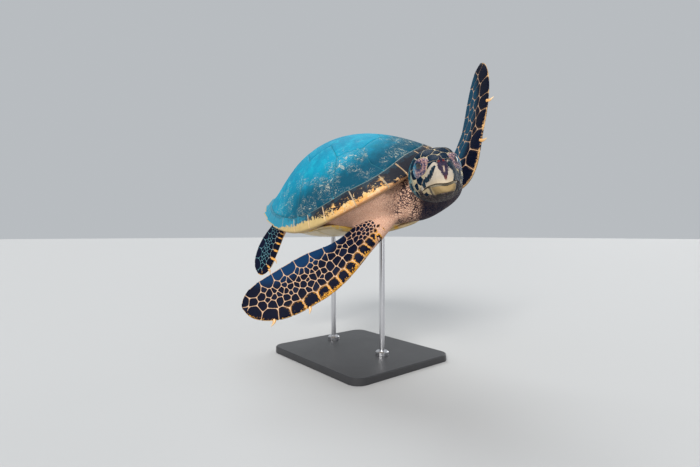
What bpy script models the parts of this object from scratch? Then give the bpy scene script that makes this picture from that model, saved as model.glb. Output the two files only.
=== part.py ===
"""Hawksbill sea turtle, life size, swimming, on a plain display stand.

Body axes: +X is the turtle's left, +Y runs to its tail and +Z is the top of its shell.
Everything but the stand hangs from one empty, which banks the body to its right.
World axes: +Z up, and the stand's base rests on Z = 0 with its centre at the origin.
"""

import math

import bmesh
import bpy
from mathutils import Matrix, Vector

# ---- driving dimensions (metres, degrees) -------------------------------------------

GAP = 0.0004                      # clear space between neighbouring parts

BODY_PLACE = Vector((-0.050, 0.030, 0.585))
BANK = 30.0                       # left side up

SHELL_LENGTH = 0.735
SHELL_HALF_WIDTH = 0.248
SHELL_SHARPNESS_FRONT = 0.69      # under 1 is blunter than an ellipse, over 1 more pointed
SHELL_SHARPNESS_REAR = 0.86
SHELL_FORWARD_FULLNESS = 0.06
RIM_RISE_FRONT = 0.035
RIM_RISE_REAR = 0.022
RIM_DIP_SIDE = 0.030
DOME_HEIGHT = 0.141
DOME_SKEW = 0.80                  # under 1 moves the highest place forward
DOME_EXPONENT = 0.97
SECTION_EXPONENT = 2.0
SECTION_ROUNDNESS = 0.88
REAR_FLARE = 0.34                 # how far the rear margin flattens out like a hat's brim
SHELL_THICKNESS = 0.012
RIM_THICKNESS = 0.009
RIM_SHELF = 0.034                 # width of the margin's flat underside
MARGINALS_PER_SIDE = 12
TOOTH_DEPTH = 0.010               # saw-toothed rear margin

PLASTRON_HALF_WIDTH = 0.140
PLASTRON_HALF_LENGTH = 0.315
PLASTRON_CENTRE_Y = -0.028
PLASTRON_DEPTH = -0.130           # height of its flat middle
PLASTRON_THICKNESS = 0.009
BRIDGE_REACH = 0.088
BRIDGE_HALF_ANGLE = 60.0
BRIDGE_RISE = 0.082

HEAD_CENTRE = Vector((-0.076, -0.482, 0.034))
HEAD_FORWARD = Vector((-0.569, -0.761, 0.311))
HEAD_UP = Vector((0.364, 0.106, 0.925))
HEAD_BACK_Y = 0.072
BEAK_CUT_Y = -0.066
BEAK_CUT_LEAN = 12.0              # the beak reaches further back at the jaw line
MOUTH_HEIGHT = -0.036
NECK_START = 1.0 / 3.0            # where the neck part leaves the trunk part
EYE_CENTRE = Vector((0.0315, -0.0410, 0.0195))
EYE_RADIUS = 0.0185

FLIPPER_CHORD = 0.144
FLIPPER_ROOT_THICKNESS = 0.066
FLIPPER_TIP_THICKNESS = 0.009
HIND_CHORD = 0.094
HIND_ROOT_THICKNESS = 0.050
HIND_TIP_THICKNESS = 0.008
CLAW_LENGTH = 0.0165
CLAW_RADIUS = 0.0048

BASE_SIZE = (0.420, 0.480, 0.022)
BASE_CORNER = 0.040
ROD_RADIUS = 0.009
ROD_COLLAR_RADIUS = 0.022
ROD_COLLAR_HEIGHT = 0.014
ROD_PLACES = {"stand_rod_front": -0.135, "stand_rod_rear": 0.135}

MARGINAL_SEAMS = (5.0, 18.0, 40.0, 61.0, 74.0, 88.0)   # degrees round the margin
SEAM_END = 180.0

# Head sections: place along the head, half width, top height, bottom height.
HEAD_ROWS = (
    (0.072, 0.049, 0.040, -0.044),
    (0.048, 0.058, 0.053, -0.055),
    (0.012, 0.063, 0.061, -0.066),
    (-0.022, 0.061, 0.061, -0.070),
    (-0.048, 0.050, 0.052, -0.068),
    (-0.072, 0.036, 0.036, -0.064),
    (-0.094, 0.026, 0.021, -0.060),
    (-0.107, 0.016, 0.002, -0.052),
)
HEAD_ROUNDNESS = 2.3
SNOUT_TIP = Vector((0.0, -0.113, -0.030))

# Paths of the limbs, from where they leave the trunk to their tips.
FLIPPER_PATH_RIGHT = (
    (-0.156, -0.263, -0.074),
    (-0.264, -0.222, -0.108),
    (-0.358, -0.180, -0.117),
    (-0.448, -0.132, -0.120),
    (-0.530, -0.068, -0.107),
)
FLIPPER_PATH_LEFT = (
    (0.156, -0.263, -0.078),
    (0.188, -0.342, -0.068),
    (0.266, -0.378, 0.024),
    (0.342, -0.387, 0.114),
    (0.408, -0.391, 0.205),
)
FLIPPER_EDGE_ROOT = Vector((0.0, -0.90, -0.43))
FLIPPER_EDGE_RIGHT = Vector((-0.330, -0.562, -0.760))
FLIPPER_EDGE_LEFT = Vector((-0.400, -0.887, 0.233))
HIND_PATH = (
    (0.136, 0.265, -0.060),
    (0.182, 0.288, -0.094),
    (0.234, 0.312, -0.142),
    (0.285, 0.335, -0.200),
)
HIND_EDGE = Vector((-0.092, -0.855, -0.514))
# How far along each limb its two claws stand.
CLAW_PLACES = {
    "flipper_front_left": (0.45, 0.68),
    "flipper_front_right": (0.60, 0.81),
    "flipper_hind_left": (0.66, 0.86),
    "flipper_hind_right": (0.66, 0.86),
}
# How far a limb's claws lean from its leading edge towards its lower side.
CLAW_LEAN = {"flipper_front_left": 0.9}
TAIL_PATH = (
    (0.0, 0.335, -0.056),
    (0.0, 0.370, -0.070),
    (0.0, 0.410, -0.088),
)
TAIL_RADIUS = 0.022

COLOURS = {                       # base colour, roughness, metallic
    "carapace": ((0.03, 0.20, 0.24), 0.55, 0.0),
    "plastron": ((0.66, 0.55, 0.26), 0.50, 0.0),
    "trunk": ((0.62, 0.47, 0.38), 0.60, 0.0),
    "neck": ((0.58, 0.42, 0.34), 0.60, 0.0),
    "head": ((0.10, 0.12, 0.16), 0.45, 0.0),
    "beak": ((0.62, 0.54, 0.38), 0.40, 0.0),
    "eye": ((0.01, 0.01, 0.01), 0.08, 0.0),
    "flipper": ((0.03, 0.035, 0.07), 0.50, 0.0),
    "claw": ((0.62, 0.38, 0.18), 0.40, 0.0),
    "stand_base": ((0.02, 0.02, 0.02), 0.45, 0.0),
    "stand_rod": ((0.60, 0.60, 0.62), 0.30, 1.0),
}


# ---- general helpers ------------------------------------------------------------------

def clear_scene():
    """Remove every object, so that a second run starts clean."""
    for item in list(bpy.data.objects):
        bpy.data.objects.remove(item, do_unlink=True)


def material(name):
    """One Principled material per sub-part."""
    colour, roughness, metallic = COLOURS[name]
    made = bpy.data.materials.new(name)
    made.use_nodes = True
    shader = made.node_tree.nodes["Principled BSDF"]
    shader.inputs["Base Color"].default_value = (*colour, 1.0)
    shader.inputs["Roughness"].default_value = roughness
    shader.inputs["Metallic"].default_value = metallic
    return made


def smoothstep(low, high, value):
    """0 below low, 1 above high, smooth between."""
    part = min(max((value - low) / (high - low), 0.0), 1.0)
    return part * part * (3.0 - 2.0 * part)


def blend(first, second, part):
    """Straight blend of two numbers or vectors."""
    return first + (second - first) * part


def spline(points, part):
    """A smooth curve (Catmull-Rom) through the points; part runs from 0 to 1."""
    count = len(points) - 1
    place = min(max(part, 0.0), 1.0) * count
    index = min(int(place), count - 1)
    local = place - index
    second = Vector(points[index])
    third = Vector(points[index + 1])
    first = Vector(points[index - 1]) if index > 0 else second * 2.0 - third
    fourth = Vector(points[index + 2]) if index + 2 <= count else third * 2.0 - second
    return 0.5 * (
        second * 2.0
        + (third - first) * local
        + (first * 2.0 - second * 5.0 + third * 4.0 - fourth) * local ** 2
        + (second * 3.0 - first - third * 3.0 + fourth) * local ** 3
    )


def solid_from_rings(name, rings, start=None, end=None):
    """A closed solid through rings of points; each end closes on a point or a flat cap."""
    work = bmesh.new()
    rows = [[work.verts.new(point) for point in ring] for ring in rings]
    count = len(rows[0])
    for lower, upper in zip(rows, rows[1:]):
        for k in range(count):
            after = (k + 1) % count
            work.faces.new((lower[k], lower[after], upper[after], upper[k]))
    for row, pole in ((rows[0], start), (rows[-1], end)):
        if pole is None:
            work.faces.new(row)
            continue
        tip = work.verts.new(pole)
        for k in range(count):
            work.faces.new((row[k], row[(k + 1) % count], tip))
    quads = [face for face in work.faces if len(face.verts) == 4]
    bmesh.ops.triangulate(work, faces=quads, quad_method="FIXED")
    bmesh.ops.recalc_face_normals(work, faces=work.faces)
    mesh = bpy.data.meshes.new(name)
    work.to_mesh(mesh)
    work.free()
    return mesh


def add_part(name, mesh, finish, parent, smooth=True):
    """Put a mesh in the scene as a named sub-part with its material."""
    part = bpy.data.objects.new(name, mesh)
    bpy.context.scene.collection.objects.link(part)
    part.data.materials.append(finish)
    part.parent = parent
    for face in part.data.polygons:
        face.use_smooth = smooth
    return part


def tidy_mesh(mesh):
    """Weld hairline slivers that a cut leaves behind."""
    work = bmesh.new()
    work.from_mesh(mesh)
    bmesh.ops.triangulate(work, faces=[face for face in work.faces if len(face.verts) > 4])
    bmesh.ops.remove_doubles(work, verts=work.verts, dist=1e-5)
    bmesh.ops.dissolve_degenerate(work, edges=work.edges, dist=1e-6)
    bmesh.ops.recalc_face_normals(work, faces=work.faces)
    work.to_mesh(mesh)
    work.free()
    return mesh


def combine(name, mesh, others, operation):
    """The union or difference of a mesh with other meshes, taken one after another."""
    result = mesh
    for other in others:
        base = bpy.data.objects.new(name + "_work", result)
        helper = bpy.data.objects.new(name + "_helper", other)
        bpy.context.scene.collection.objects.link(base)
        bpy.context.scene.collection.objects.link(helper)
        step = base.modifiers.new("Boolean", "BOOLEAN")
        step.operation = operation
        step.solver = "EXACT"
        step.object = helper
        seen = bpy.context.evaluated_depsgraph_get()
        result = tidy_mesh(bpy.data.meshes.new_from_object(base.evaluated_get(seen)))
        bpy.data.objects.remove(base, do_unlink=True)
        bpy.data.objects.remove(helper, do_unlink=True)
    result.name = name
    return result


def cut_by_plane(name, mesh, place, normal):
    """The part of a mesh that lies on the normal's side of a plane, closed again."""
    work = bmesh.new()
    work.from_mesh(mesh)
    everything = work.verts[:] + work.edges[:] + work.faces[:]
    bmesh.ops.bisect_plane(
        work, geom=everything, dist=1e-7, plane_co=place, plane_no=normal, clear_inner=True
    )
    rim = [edge for edge in work.edges if len(edge.link_faces) == 1]
    bmesh.ops.holes_fill(work, edges=rim, sides=0)
    bmesh.ops.triangulate(work, faces=[face for face in work.faces if len(face.verts) > 4])
    bmesh.ops.recalc_face_normals(work, faces=work.faces)
    result = bpy.data.meshes.new(name)
    work.to_mesh(result)
    work.free()
    return result


# ---- shell ------------------------------------------------------------------------------

def rim_point(angle):
    """A place on the shell's margin; 0 is the front, 90 the left side, -90 the right."""
    turn = math.radians(abs(angle))
    side = 1.0 if angle >= 0.0 else -1.0
    along = turn / math.pi
    cosine = math.cos(turn)
    sine = max(math.sin(turn), 0.0)
    sharpness = blend(SHELL_SHARPNESS_FRONT, SHELL_SHARPNESS_REAR, along)
    half = SHELL_HALF_WIDTH * sine ** sharpness * (1.0 + SHELL_FORWARD_FULLNESS * cosine)
    height = RIM_RISE_FRONT * max(cosine, 0.0) ** 1.5 + RIM_RISE_REAR * max(-cosine, 0.0) ** 1.5
    height -= RIM_DIP_SIDE * math.exp(-((along - 0.52) / 0.25) ** 2) * sine
    return Vector((side * half, -SHELL_LENGTH / 2.0 * cosine, height))


def margin_angles():
    """The seams between marginal scutes on one side, in degrees."""
    seams = list(MARGINAL_SEAMS)
    left = MARGINALS_PER_SIDE + 1 - len(seams)
    step = (SEAM_END - seams[-1]) / left
    seams += [seams[-1] + step * (k + 1) for k in range(left)]
    return seams


def toothed_rim():
    """The margin's points all round, each rear marginal ending in a backward tooth."""
    seams = margin_angles()
    side = []
    for k, (start, stop) in enumerate(zip(seams, seams[1:])):
        depth = TOOTH_DEPTH * smoothstep(4.0, 9.0, k)
        for part in (0.04, 0.5, 0.93):
            angle = blend(start, stop, part)
            point = rim_point(angle)
            outward = Vector((point.x, point.y, 0.0)).normalized()
            side.append(point + outward * depth * part ** 1.5)
    right = [Vector((-point.x, point.y, point.z)) for point in reversed(side)]
    return [rim_point(0.0)] + side + [rim_point(180.0)] + right


def rim_beside(y):
    """The left margin point that lies level with a place along the body, and how far along."""
    along = min(max((y + SHELL_LENGTH / 2.0) / SHELL_LENGTH, 0.0), 1.0)
    return rim_point(math.degrees(math.acos(1.0 - 2.0 * along))), along


def dome_height(x, y):
    """Height of the shell's upper surface over a place in plan."""
    edge, along = rim_beside(y)
    flare = REAR_FLARE * smoothstep(0.55, 0.95, along)
    crest = blend(RIM_RISE_FRONT, RIM_RISE_REAR, along)
    swell = max(math.sin(math.pi * along ** DOME_SKEW), 0.0)
    crest += DOME_HEIGHT * swell ** (DOME_EXPONENT + 0.7 * flare)
    across = min(abs(x) / max(edge.x, 1e-6), 1.0)
    return blend(edge.z, crest, (1.0 - across ** SECTION_EXPONENT) ** (SECTION_ROUNDNESS + flare))


def inset(point, distance):
    """A margin point moved in towards the shell's middle, in plan."""
    flat = Vector((point.x, point.y, 0.0))
    return point - flat.normalized() * distance


def shell_ring(rim, part, drop):
    """A ring of the dome at part of the way out to the margin, lowered by drop."""
    ring = []
    for point in rim:
        x = point.x * part
        y = point.y * part
        ring.append(Vector((x, y, dome_height(x, y) - drop)))
    return ring


def carapace_mesh(name="carapace", clear=0.0):
    """The upper shell, hollow inside; clear thickens its underside, to cut with."""
    rim = toothed_rim()
    rings = [shell_ring(rim, part, 0.0) for part in (0.22, 0.42, 0.6, 0.75, 0.87, 0.95)]
    rings.append(rim)
    lower = Vector((0.0, 0.0, -RIM_THICKNESS - clear))
    rings.append([inset(point, 0.002) + lower * 0.7 for point in rim])
    rings.append([inset(point, 0.006) + lower for point in rim])
    rings.append([inset(point, RIM_SHELF + clear) + lower for point in rim])
    thick = SHELL_THICKNESS + clear
    rings += [shell_ring(rim, part, thick) for part in (0.80, 0.62, 0.42, 0.22)]
    top = Vector((0.0, 0.0, dome_height(0.0, 0.0)))
    return solid_from_rings(name, rings, top, top - Vector((0.0, 0.0, thick)))


def plastron_radius(angle):
    """Plan radius of the lower shell: an oval with a bridge out to each side."""
    turn = math.radians(angle)
    oval = math.hypot(math.sin(turn) / PLASTRON_HALF_WIDTH, math.cos(turn) / PLASTRON_HALF_LENGTH)
    return 1.0 / oval + BRIDGE_REACH * bridge_share(angle)


def bridge_share(angle):
    """1 on the bridge, 0 on the front and rear lobes."""
    aside = abs(abs(angle) - 90.0)
    return 1.0 - smoothstep(BRIDGE_HALF_ANGLE * 0.5, BRIDGE_HALF_ANGLE, aside)


def plastron_point(angle, part, lift):
    """A place on the lower shell, part of the way out to its edge, raised by lift."""
    turn = math.radians(angle)
    radius = plastron_radius(angle) * part
    rise = BRIDGE_RISE * bridge_share(angle) * part ** 3 + 0.012 * part ** 4
    x = radius * math.sin(turn)
    y = PLASTRON_CENTRE_Y - radius * math.cos(turn)
    ceiling = rim_beside(y)[0].z - RIM_THICKNESS - PLASTRON_THICKNESS - 0.002
    return Vector((x, y, min(PLASTRON_DEPTH + rise, ceiling) + lift))


def ring_angles(count):
    """Even angles all round, from -180 up."""
    return [-180.0 + 360.0 * k / count for k in range(count)]


def plastron_mesh(name="plastron", clear=0.0):
    """The lower shell with its two bridges; clear thickens it all round, to cut with."""
    angles = ring_angles(48)
    top = PLASTRON_THICKNESS + clear
    rings = [[plastron_point(a, part, -clear) for a in angles] for part in (0.35, 0.62, 0.82, 0.94)]
    middle = 0.3 * PLASTRON_THICKNESS
    rings.append([inset(plastron_point(a, 1.0, middle), -clear) for a in angles])
    rings.append([inset(plastron_point(a, 0.985, top), -clear) for a in angles])
    rings += [[plastron_point(a, part, top) for a in angles] for part in (0.82, 0.5)]
    low = plastron_point(0.0, 0.0, -clear)
    return solid_from_rings(name, rings, low, plastron_point(0.0, 0.0, top))


# ---- flesh ------------------------------------------------------------------------------

def trunk_core_mesh():
    """The trunk between the two shells, bulging where the shells leave it open."""
    rings = {"dome": [[], [], []], "shelf": [[], []], "wall": [[], [], []], "floor": [[], []]}
    for angle in ring_angles(40):
        rim = rim_point(angle)
        side = bridge_share(angle)
        under = rim.z - RIM_THICKNESS + 0.003
        for ring, part in zip(rings["dome"], (0.3, 0.55, 0.72)):
            x = rim.x * part
            y = rim.y * part
            ring.append(Vector((x, y, dome_height(x, y) - SHELL_THICKNESS - 0.006)))
        deep = inset(rim, 0.050)
        deep.z = under
        rings["shelf"][0].append(deep)
        nape = 1.0 - smoothstep(10.0, 26.0, abs(angle))
        rump = smoothstep(135.0, 165.0, abs(angle))
        hold = smoothstep(52.0, 70.0, abs(angle)) * (1.0 - smoothstep(112.0, 130.0, abs(angle)))
        top = inset(rim, max(blend(0.006, 0.050, hold), 0.030 * nape, 0.042 * rump))
        top.z = under
        rings["shelf"][1].append(top)
        lift = 0.5 * PLASTRON_THICKNESS
        foot = plastron_point(angle, blend(0.96, 0.62, side), lift)
        swell = 0.022 * (1.0 - side) * (1.0 - nape) * (1.0 - rump)
        for ring, part in zip(rings["wall"], (0.3, 0.65, 1.0)):
            point = blend(top, foot, part)
            outward = Vector((point.x, point.y, 0.0)).normalized()
            ring.append(point + outward * swell * math.sin(math.pi * part))
        for ring, part in zip(rings["floor"], (0.6, 0.3)):
            ring.append(plastron_point(angle, part * blend(1.0, 0.8, side), lift))
    crest = Vector((0.0, 0.0, dome_height(0.0, 0.0) - SHELL_THICKNESS - 0.006))
    floor = plastron_point(0.0, 0.0, 0.5 * PLASTRON_THICKNESS)
    order = rings["dome"] + rings["shelf"] + rings["wall"] + rings["floor"]
    return solid_from_rings("trunk_core", order, crest, floor)


def limb_frame(path, edge_root, edge_blade, part):
    """Place, outward axis, leading-edge direction and upper normal at part of a limb."""
    place = spline(path, part)
    axis = (spline(path, part + 0.02) - spline(path, part - 0.02)).normalized()
    edge = blend(edge_root.normalized(), edge_blade.normalized(), smoothstep(0.0, 0.55, part))
    edge = (edge - axis * edge.dot(axis)).normalized()
    normal = edge.cross(axis)
    if normal.z < 0.0:
        normal = -normal
    return place, axis, edge, normal.normalized()


def flipper_share(part):
    """Chord of a front flipper at part of its length, against its widest."""
    if part < 0.5:
        return 0.66 + 0.34 * smoothstep(0.0, 0.5, part)
    return max(1.0 - ((part - 0.5) / 0.5) ** 3.2, 0.0) ** 0.55


def hind_share(part):
    """Chord of a hind flipper at part of its length, against its widest."""
    if part < 0.6:
        return 0.70 + 0.30 * smoothstep(0.0, 0.6, part)
    return max(1.0 - ((part - 0.6) / 0.4) ** 2.4, 0.0) ** 0.5


def limb_ring(frame, chord, thickness, count):
    """A lens-shaped section: thick near the leading edge, thin at the trailing edge."""
    place, axis, edge, normal = frame
    ring = []
    for k in range(count):
        turn = 2.0 * math.pi * k / count
        reach = math.cos(turn)
        depth = math.sin(turn) * (0.66 + 0.34 * reach)
        ring.append(place + edge * (reach * chord / 2.0) + normal * (depth * thickness / 2.0))
    return ring


def limb_mesh(name, path, edges, share, chord, thickness, stations=13, count=14):
    """A flipper lofted along its path, closed flat at its root and round at its tip."""
    rings = []
    for k in range(stations):
        part = math.sin(0.5 * math.pi * k / stations)
        thick = blend(thickness[1], thickness[0], (1.0 - part) ** 2.2)
        frame = limb_frame(path, edges[0], edges[1], part)
        rings.append(limb_ring(frame, chord * share(part), thick, count))
    return solid_from_rings(name, rings, None, spline(path, 1.0))


def root_stub_mesh(name, path, edges, share, chord, thickness, reach, count=14):
    """The limb's root carried inward, ending just short of the limb's own root face."""
    frame = limb_frame(path, edges[0], edges[1], 0.0)
    place, axis, edge, normal = frame
    rings = []
    for back, wide in ((reach, 0.8), (reach * 0.5, 1.0), (GAP, 1.0)):
        moved = (place - axis * back, axis, edge, normal)
        rings.append(limb_ring(moved, chord * share(0.0) * wide, thickness[0] * wide, count))
    return solid_from_rings(name, rings)


def root_room_mesh(name, path, edges, share, chord, thickness, reach=0.05, count=14):
    """The room that the limb itself takes, just outside its root face."""
    place, axis, edge, normal = limb_frame(path, edges[0], edges[1], 0.0)
    rings = []
    for out in (-GAP, reach):
        moved = (place + axis * out, axis, edge, normal)
        rings.append(limb_ring(moved, chord * share(0.0) * 1.25, thickness[0] * 1.25, count))
    return solid_from_rings(name, rings)


def head_axes():
    """The head's left, rear and upper directions in body axes."""
    rear = -HEAD_FORWARD.normalized()
    upper = (HEAD_UP - rear * HEAD_UP.dot(rear)).normalized()
    return rear.cross(upper), rear, upper


def in_body(point):
    """A point of the head carried into body axes."""
    left, rear, upper = head_axes()
    return HEAD_CENTRE + left * point.x + rear * point.y + upper * point.z


def head_ring(row, count=20):
    """A head section: a rounded box about its own middle height."""
    place, half, top, bottom = row
    middle = (top + bottom) / 2.0
    ring = []
    for k in range(count):
        turn = 2.0 * math.pi * k / count
        across = math.copysign(abs(math.cos(turn)) ** (2.0 / HEAD_ROUNDNESS), math.cos(turn))
        lift = math.copysign(abs(math.sin(turn)) ** (2.0 / HEAD_ROUNDNESS), math.sin(turn))
        ring.append(Vector((half * across, place, middle + (top - middle) * lift)))
    return ring


def head_whole_mesh():
    """Head and jaws in one piece, from the neck to the snout."""
    rows = [spline4(HEAD_ROWS, k / 17.0) for k in range(18)]
    rings = [head_ring(row) for row in rows]
    return solid_from_rings("head_whole", rings, None, SNOUT_TIP)


def spline4(rows, part):
    """The same smooth curve as spline(), for rows of four numbers."""
    firsts = spline([row[:3] for row in rows], part)
    lasts = spline([(row[3], 0.0, 0.0) for row in rows], part)
    return (*firsts, lasts[0])


def beak_cut():
    """Place and normal of the cut between the beak and the head; the normal faces back."""
    lean = math.radians(BEAK_CUT_LEAN)
    return Vector((0.0, BEAK_CUT_Y, 0.0)), Vector((0.0, math.cos(lean), math.sin(lean)))


def eye_mesh(side, radius, name):
    """An eyeball in head axes."""
    work = bmesh.new()
    place = Matrix.Translation((side * EYE_CENTRE.x, EYE_CENTRE.y, EYE_CENTRE.z))
    bmesh.ops.create_uvsphere(work, u_segments=14, v_segments=8, radius=radius, matrix=place)
    mesh = bpy.data.meshes.new(name)
    work.to_mesh(mesh)
    work.free()
    return mesh


def head_meshes():
    """Head, upper beak, lower beak and eyes, parted by thin cuts, in head axes."""
    whole = head_whole_mesh()
    place, normal = beak_cut()
    half = normal * (GAP / 2.0)
    head = cut_by_plane("head", whole, place + half, normal)
    front = cut_by_plane("beak", whole, place - half, -normal)
    up = Vector((0.0, 0.0, 1.0))
    mouth = Vector((0.0, 0.0, MOUTH_HEIGHT))
    upper = cut_by_plane("beak_upper", front, mouth + up * (GAP / 2.0), up)
    lower = cut_by_plane("beak_lower", front, mouth - up * (GAP / 2.0), -up)
    sockets = [eye_mesh(side, EYE_RADIUS + GAP, "socket") for side in (1.0, -1.0)]
    head = combine("head", head, sockets, "DIFFERENCE")
    left = eye_mesh(1.0, EYE_RADIUS, "eye_left")
    right = eye_mesh(-1.0, EYE_RADIUS, "eye_right")
    return {"head": head, "beak_upper": upper, "beak_lower": lower,
            "eye_left": left, "eye_right": right}


def neck_ring(part, count=20):
    """A section of the neck, turning from the body's axes to the head's."""
    left, rear, upper = head_axes()
    back = in_body(Vector((0.0, HEAD_BACK_Y, 0.0)))
    path = [Vector((0.0, -0.300, -0.050)), Vector((0.020, -0.345, -0.056)),
            Vector((0.026, -0.396, -0.044)), back + rear * GAP]
    turn = smoothstep(0.34, 1.0, part)
    across = blend(Vector((1.0, 0.0, 0.0)), left, turn).normalized()
    lift = blend(Vector((0.0, 0.0, 1.0)), upper, turn).normalized()
    place = spline(path, part)
    row = HEAD_ROWS[0]
    wide = blend(0.106, row[1], smoothstep(0.30, 1.0, part))
    high = blend(0.066, (row[2] - row[3]) / 2.0, smoothstep(0.4, 1.0, part))
    middle = blend(0.0, (row[2] + row[3]) / 2.0, smoothstep(0.34, 1.0, part))
    ring = []
    for k in range(count):
        angle = 2.0 * math.pi * k / count
        side = math.copysign(abs(math.cos(angle)) ** (2.0 / HEAD_ROUNDNESS), math.cos(angle))
        rise = math.copysign(abs(math.sin(angle)) ** (2.0 / HEAD_ROUNDNESS), math.sin(angle))
        ring.append(place + across * (side * wide) + lift * (middle + rise * high))
    return ring


def neck_mesh():
    """The neck from just outside the trunk to the back of the head."""
    parts = [NECK_START + (1.0 - NECK_START) * k / 8.0 for k in range(9)]
    return solid_from_rings("neck", [neck_ring(part) for part in parts])


def neck_stub_mesh():
    """The neck's root inside the trunk, ending just short of the neck itself."""
    rings = [neck_ring(0.0), neck_ring(0.17)]
    last = [point + Vector((0.0, GAP, 0.0)) for point in neck_ring(NECK_START)]
    return solid_from_rings("neck_stub", rings + [last])


def neck_room_mesh():
    """The room that the neck itself takes, just outside its root."""
    rings = []
    for part in (NECK_START, 0.5, 0.7):
        ring = neck_ring(part)
        middle = sum(ring, Vector()) / len(ring)
        rings.append([middle + (point - middle) * 1.05 for point in ring])
    return solid_from_rings("neck_room", rings)


def tail_ring(part, grow, count=14):
    """A section of the short tail."""
    place = spline(TAIL_PATH, part)
    axis = (spline(TAIL_PATH, part + 0.02) - spline(TAIL_PATH, part - 0.02)).normalized()
    across = Vector((1.0, 0.0, 0.0))
    lift = across.cross(axis)
    radius = TAIL_RADIUS * (1.0 - 0.75 * part) * grow
    turns = [2.0 * math.pi * k / count for k in range(count)]
    return [place + across * radius * 1.15 * math.cos(t) + lift * radius * math.sin(t) for t in turns]


def tail_mesh():
    """The tail, which barely passes the shell."""
    rings = [tail_ring(0.14 * k, 1.0) for k in range(7)]
    return solid_from_rings("tail", rings, None, spline(TAIL_PATH, 0.93))


def tail_stub_mesh():
    """The tail's root inside the trunk."""
    rings = []
    for back in (0.060, 0.030, GAP):
        rings.append([point - Vector((0.0, back, 0.0)) for point in tail_ring(0.0, 1.0)])
    return solid_from_rings("tail_stub", rings)


def tail_room_mesh():
    """The room that the tail itself takes, just outside its root."""
    rings = [tail_ring(0.0, 1.15), tail_ring(0.5, 1.6), tail_ring(1.0, 1.6)]
    return solid_from_rings("tail_room", rings)


def mirrored(path):
    """The same path on the other side of the body."""
    return tuple((-x, y, z) for x, y, z in path)


def limb_list():
    """Name, path, edge directions, chord rule, chord and thicknesses of each limb."""
    front_thick = (FLIPPER_ROOT_THICKNESS, FLIPPER_TIP_THICKNESS)
    hind_thick = (HIND_ROOT_THICKNESS, HIND_TIP_THICKNESS)
    left = (FLIPPER_EDGE_ROOT, FLIPPER_EDGE_LEFT)
    right = (FLIPPER_EDGE_ROOT, FLIPPER_EDGE_RIGHT)
    hind_left = (HIND_EDGE, HIND_EDGE)
    turned = Vector((-HIND_EDGE.x, HIND_EDGE.y, HIND_EDGE.z))
    hind_right = (turned, turned)
    return (
        ("flipper_front_left", FLIPPER_PATH_LEFT, left, flipper_share, FLIPPER_CHORD, front_thick),
        ("flipper_front_right", FLIPPER_PATH_RIGHT, right, flipper_share, FLIPPER_CHORD, front_thick),
        ("flipper_hind_left", HIND_PATH, hind_left, hind_share, HIND_CHORD, hind_thick),
        ("flipper_hind_right", mirrored(HIND_PATH), hind_right, hind_share, HIND_CHORD, hind_thick),
    )


def trunk_mesh():
    """The trunk with the roots of neck, tail and limbs joined to it."""
    stubs = [neck_stub_mesh(), tail_stub_mesh()]
    rooms = [neck_room_mesh(), tail_room_mesh()]
    rooms += [carapace_mesh("room", 3.0 * GAP), plastron_mesh("room", 3.0 * GAP)]
    for name, path, edges, share, chord, thick in limb_list():
        reach = 0.085 if "front" in name else 0.060
        stubs.append(root_stub_mesh(name + "_stub", path, edges, share, chord, thick, reach))
        rooms.append(root_room_mesh(name + "_room", path, edges, share, chord, thick))
    joined = combine("trunk", trunk_core_mesh(), stubs, "UNION")
    return combine("trunk", joined, rooms, "DIFFERENCE")


def edge_place(limb, part):
    """A place on a limb's leading edge, with the limb's frame there."""
    path, edges, share, chord = limb[1:5]
    frame = limb_frame(path, edges[0], edges[1], part)
    return frame[0] + frame[2] * (chord * share(part) / 2.0), frame


def claw_mesh(name, limb, part):
    """A claw that stands square on the leading edge and curves towards the limb's tip."""
    foot, frame = edge_place(limb, part)
    normal = frame[3]
    along = (edge_place(limb, part + 0.02)[0] - edge_place(limb, part - 0.02)[0]).normalized()
    outward = (frame[2] - along * frame[2].dot(along)).normalized()
    foot = foot + outward * 0.0008
    outward = (outward - normal * CLAW_LEAN.get(limb[0], 0.0)).normalized()
    turns = [2.0 * math.pi * k / 6 for k in range(6)]
    rings = []
    for reach, wide in ((0.0, 1.0), (0.35, 0.9), (0.7, 0.55)):
        middle = foot + (outward + along * reach * 0.6) * (CLAW_LENGTH * reach)
        radius = CLAW_RADIUS * wide
        rings.append([middle + (along * math.cos(t) + normal * 0.7 * math.sin(t)) * radius
                      for t in turns])
    tip = foot + (outward + along * 0.6) * CLAW_LENGTH
    return solid_from_rings(name, rings, None, tip)


# ---- stand ------------------------------------------------------------------------------

def body_matrix():
    """Where the body's axes lie in the world."""
    return Matrix.Translation(BODY_PLACE) @ Matrix.Rotation(math.radians(-BANK), 4, "Y")


def base_mesh():
    """A flat plate with rounded corners and a softened upper edge, standing on Z = 0."""
    width, length, height = BASE_SIZE
    rings = []
    for z, shrink in ((0.0, 0.0), (height - 0.003, 0.0), (height, 0.003)):
        ring = []
        for sx, sy, start in ((1, 1, 0), (-1, 1, 90), (-1, -1, 180), (1, -1, 270)):
            for k in range(7):
                turn = math.radians(start + 15.0 * k)
                x = sx * (width / 2.0 - BASE_CORNER) + (BASE_CORNER - shrink) * math.cos(turn)
                y = sy * (length / 2.0 - BASE_CORNER) + (BASE_CORNER - shrink) * math.sin(turn)
                ring.append(Vector((x, y, z)))
        rings.append(ring)
    return solid_from_rings("stand_base", rings)


def underside_height(x, y):
    """World height of the flat middle of the plastron over a place on the base."""
    matrix = body_matrix()
    origin = matrix @ Vector((0.0, 0.0, PLASTRON_DEPTH))
    normal = matrix.to_3x3() @ Vector((0.0, 0.0, 1.0))
    return origin.z - (normal.x * (x - origin.x) + normal.y * (y - origin.y)) / normal.z


def rod_place(body_y):
    """Where a rod stands, under the midline of the plastron."""
    foot = body_matrix() @ Vector((0.0, body_y, PLASTRON_DEPTH))
    return foot.x, foot.y


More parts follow.
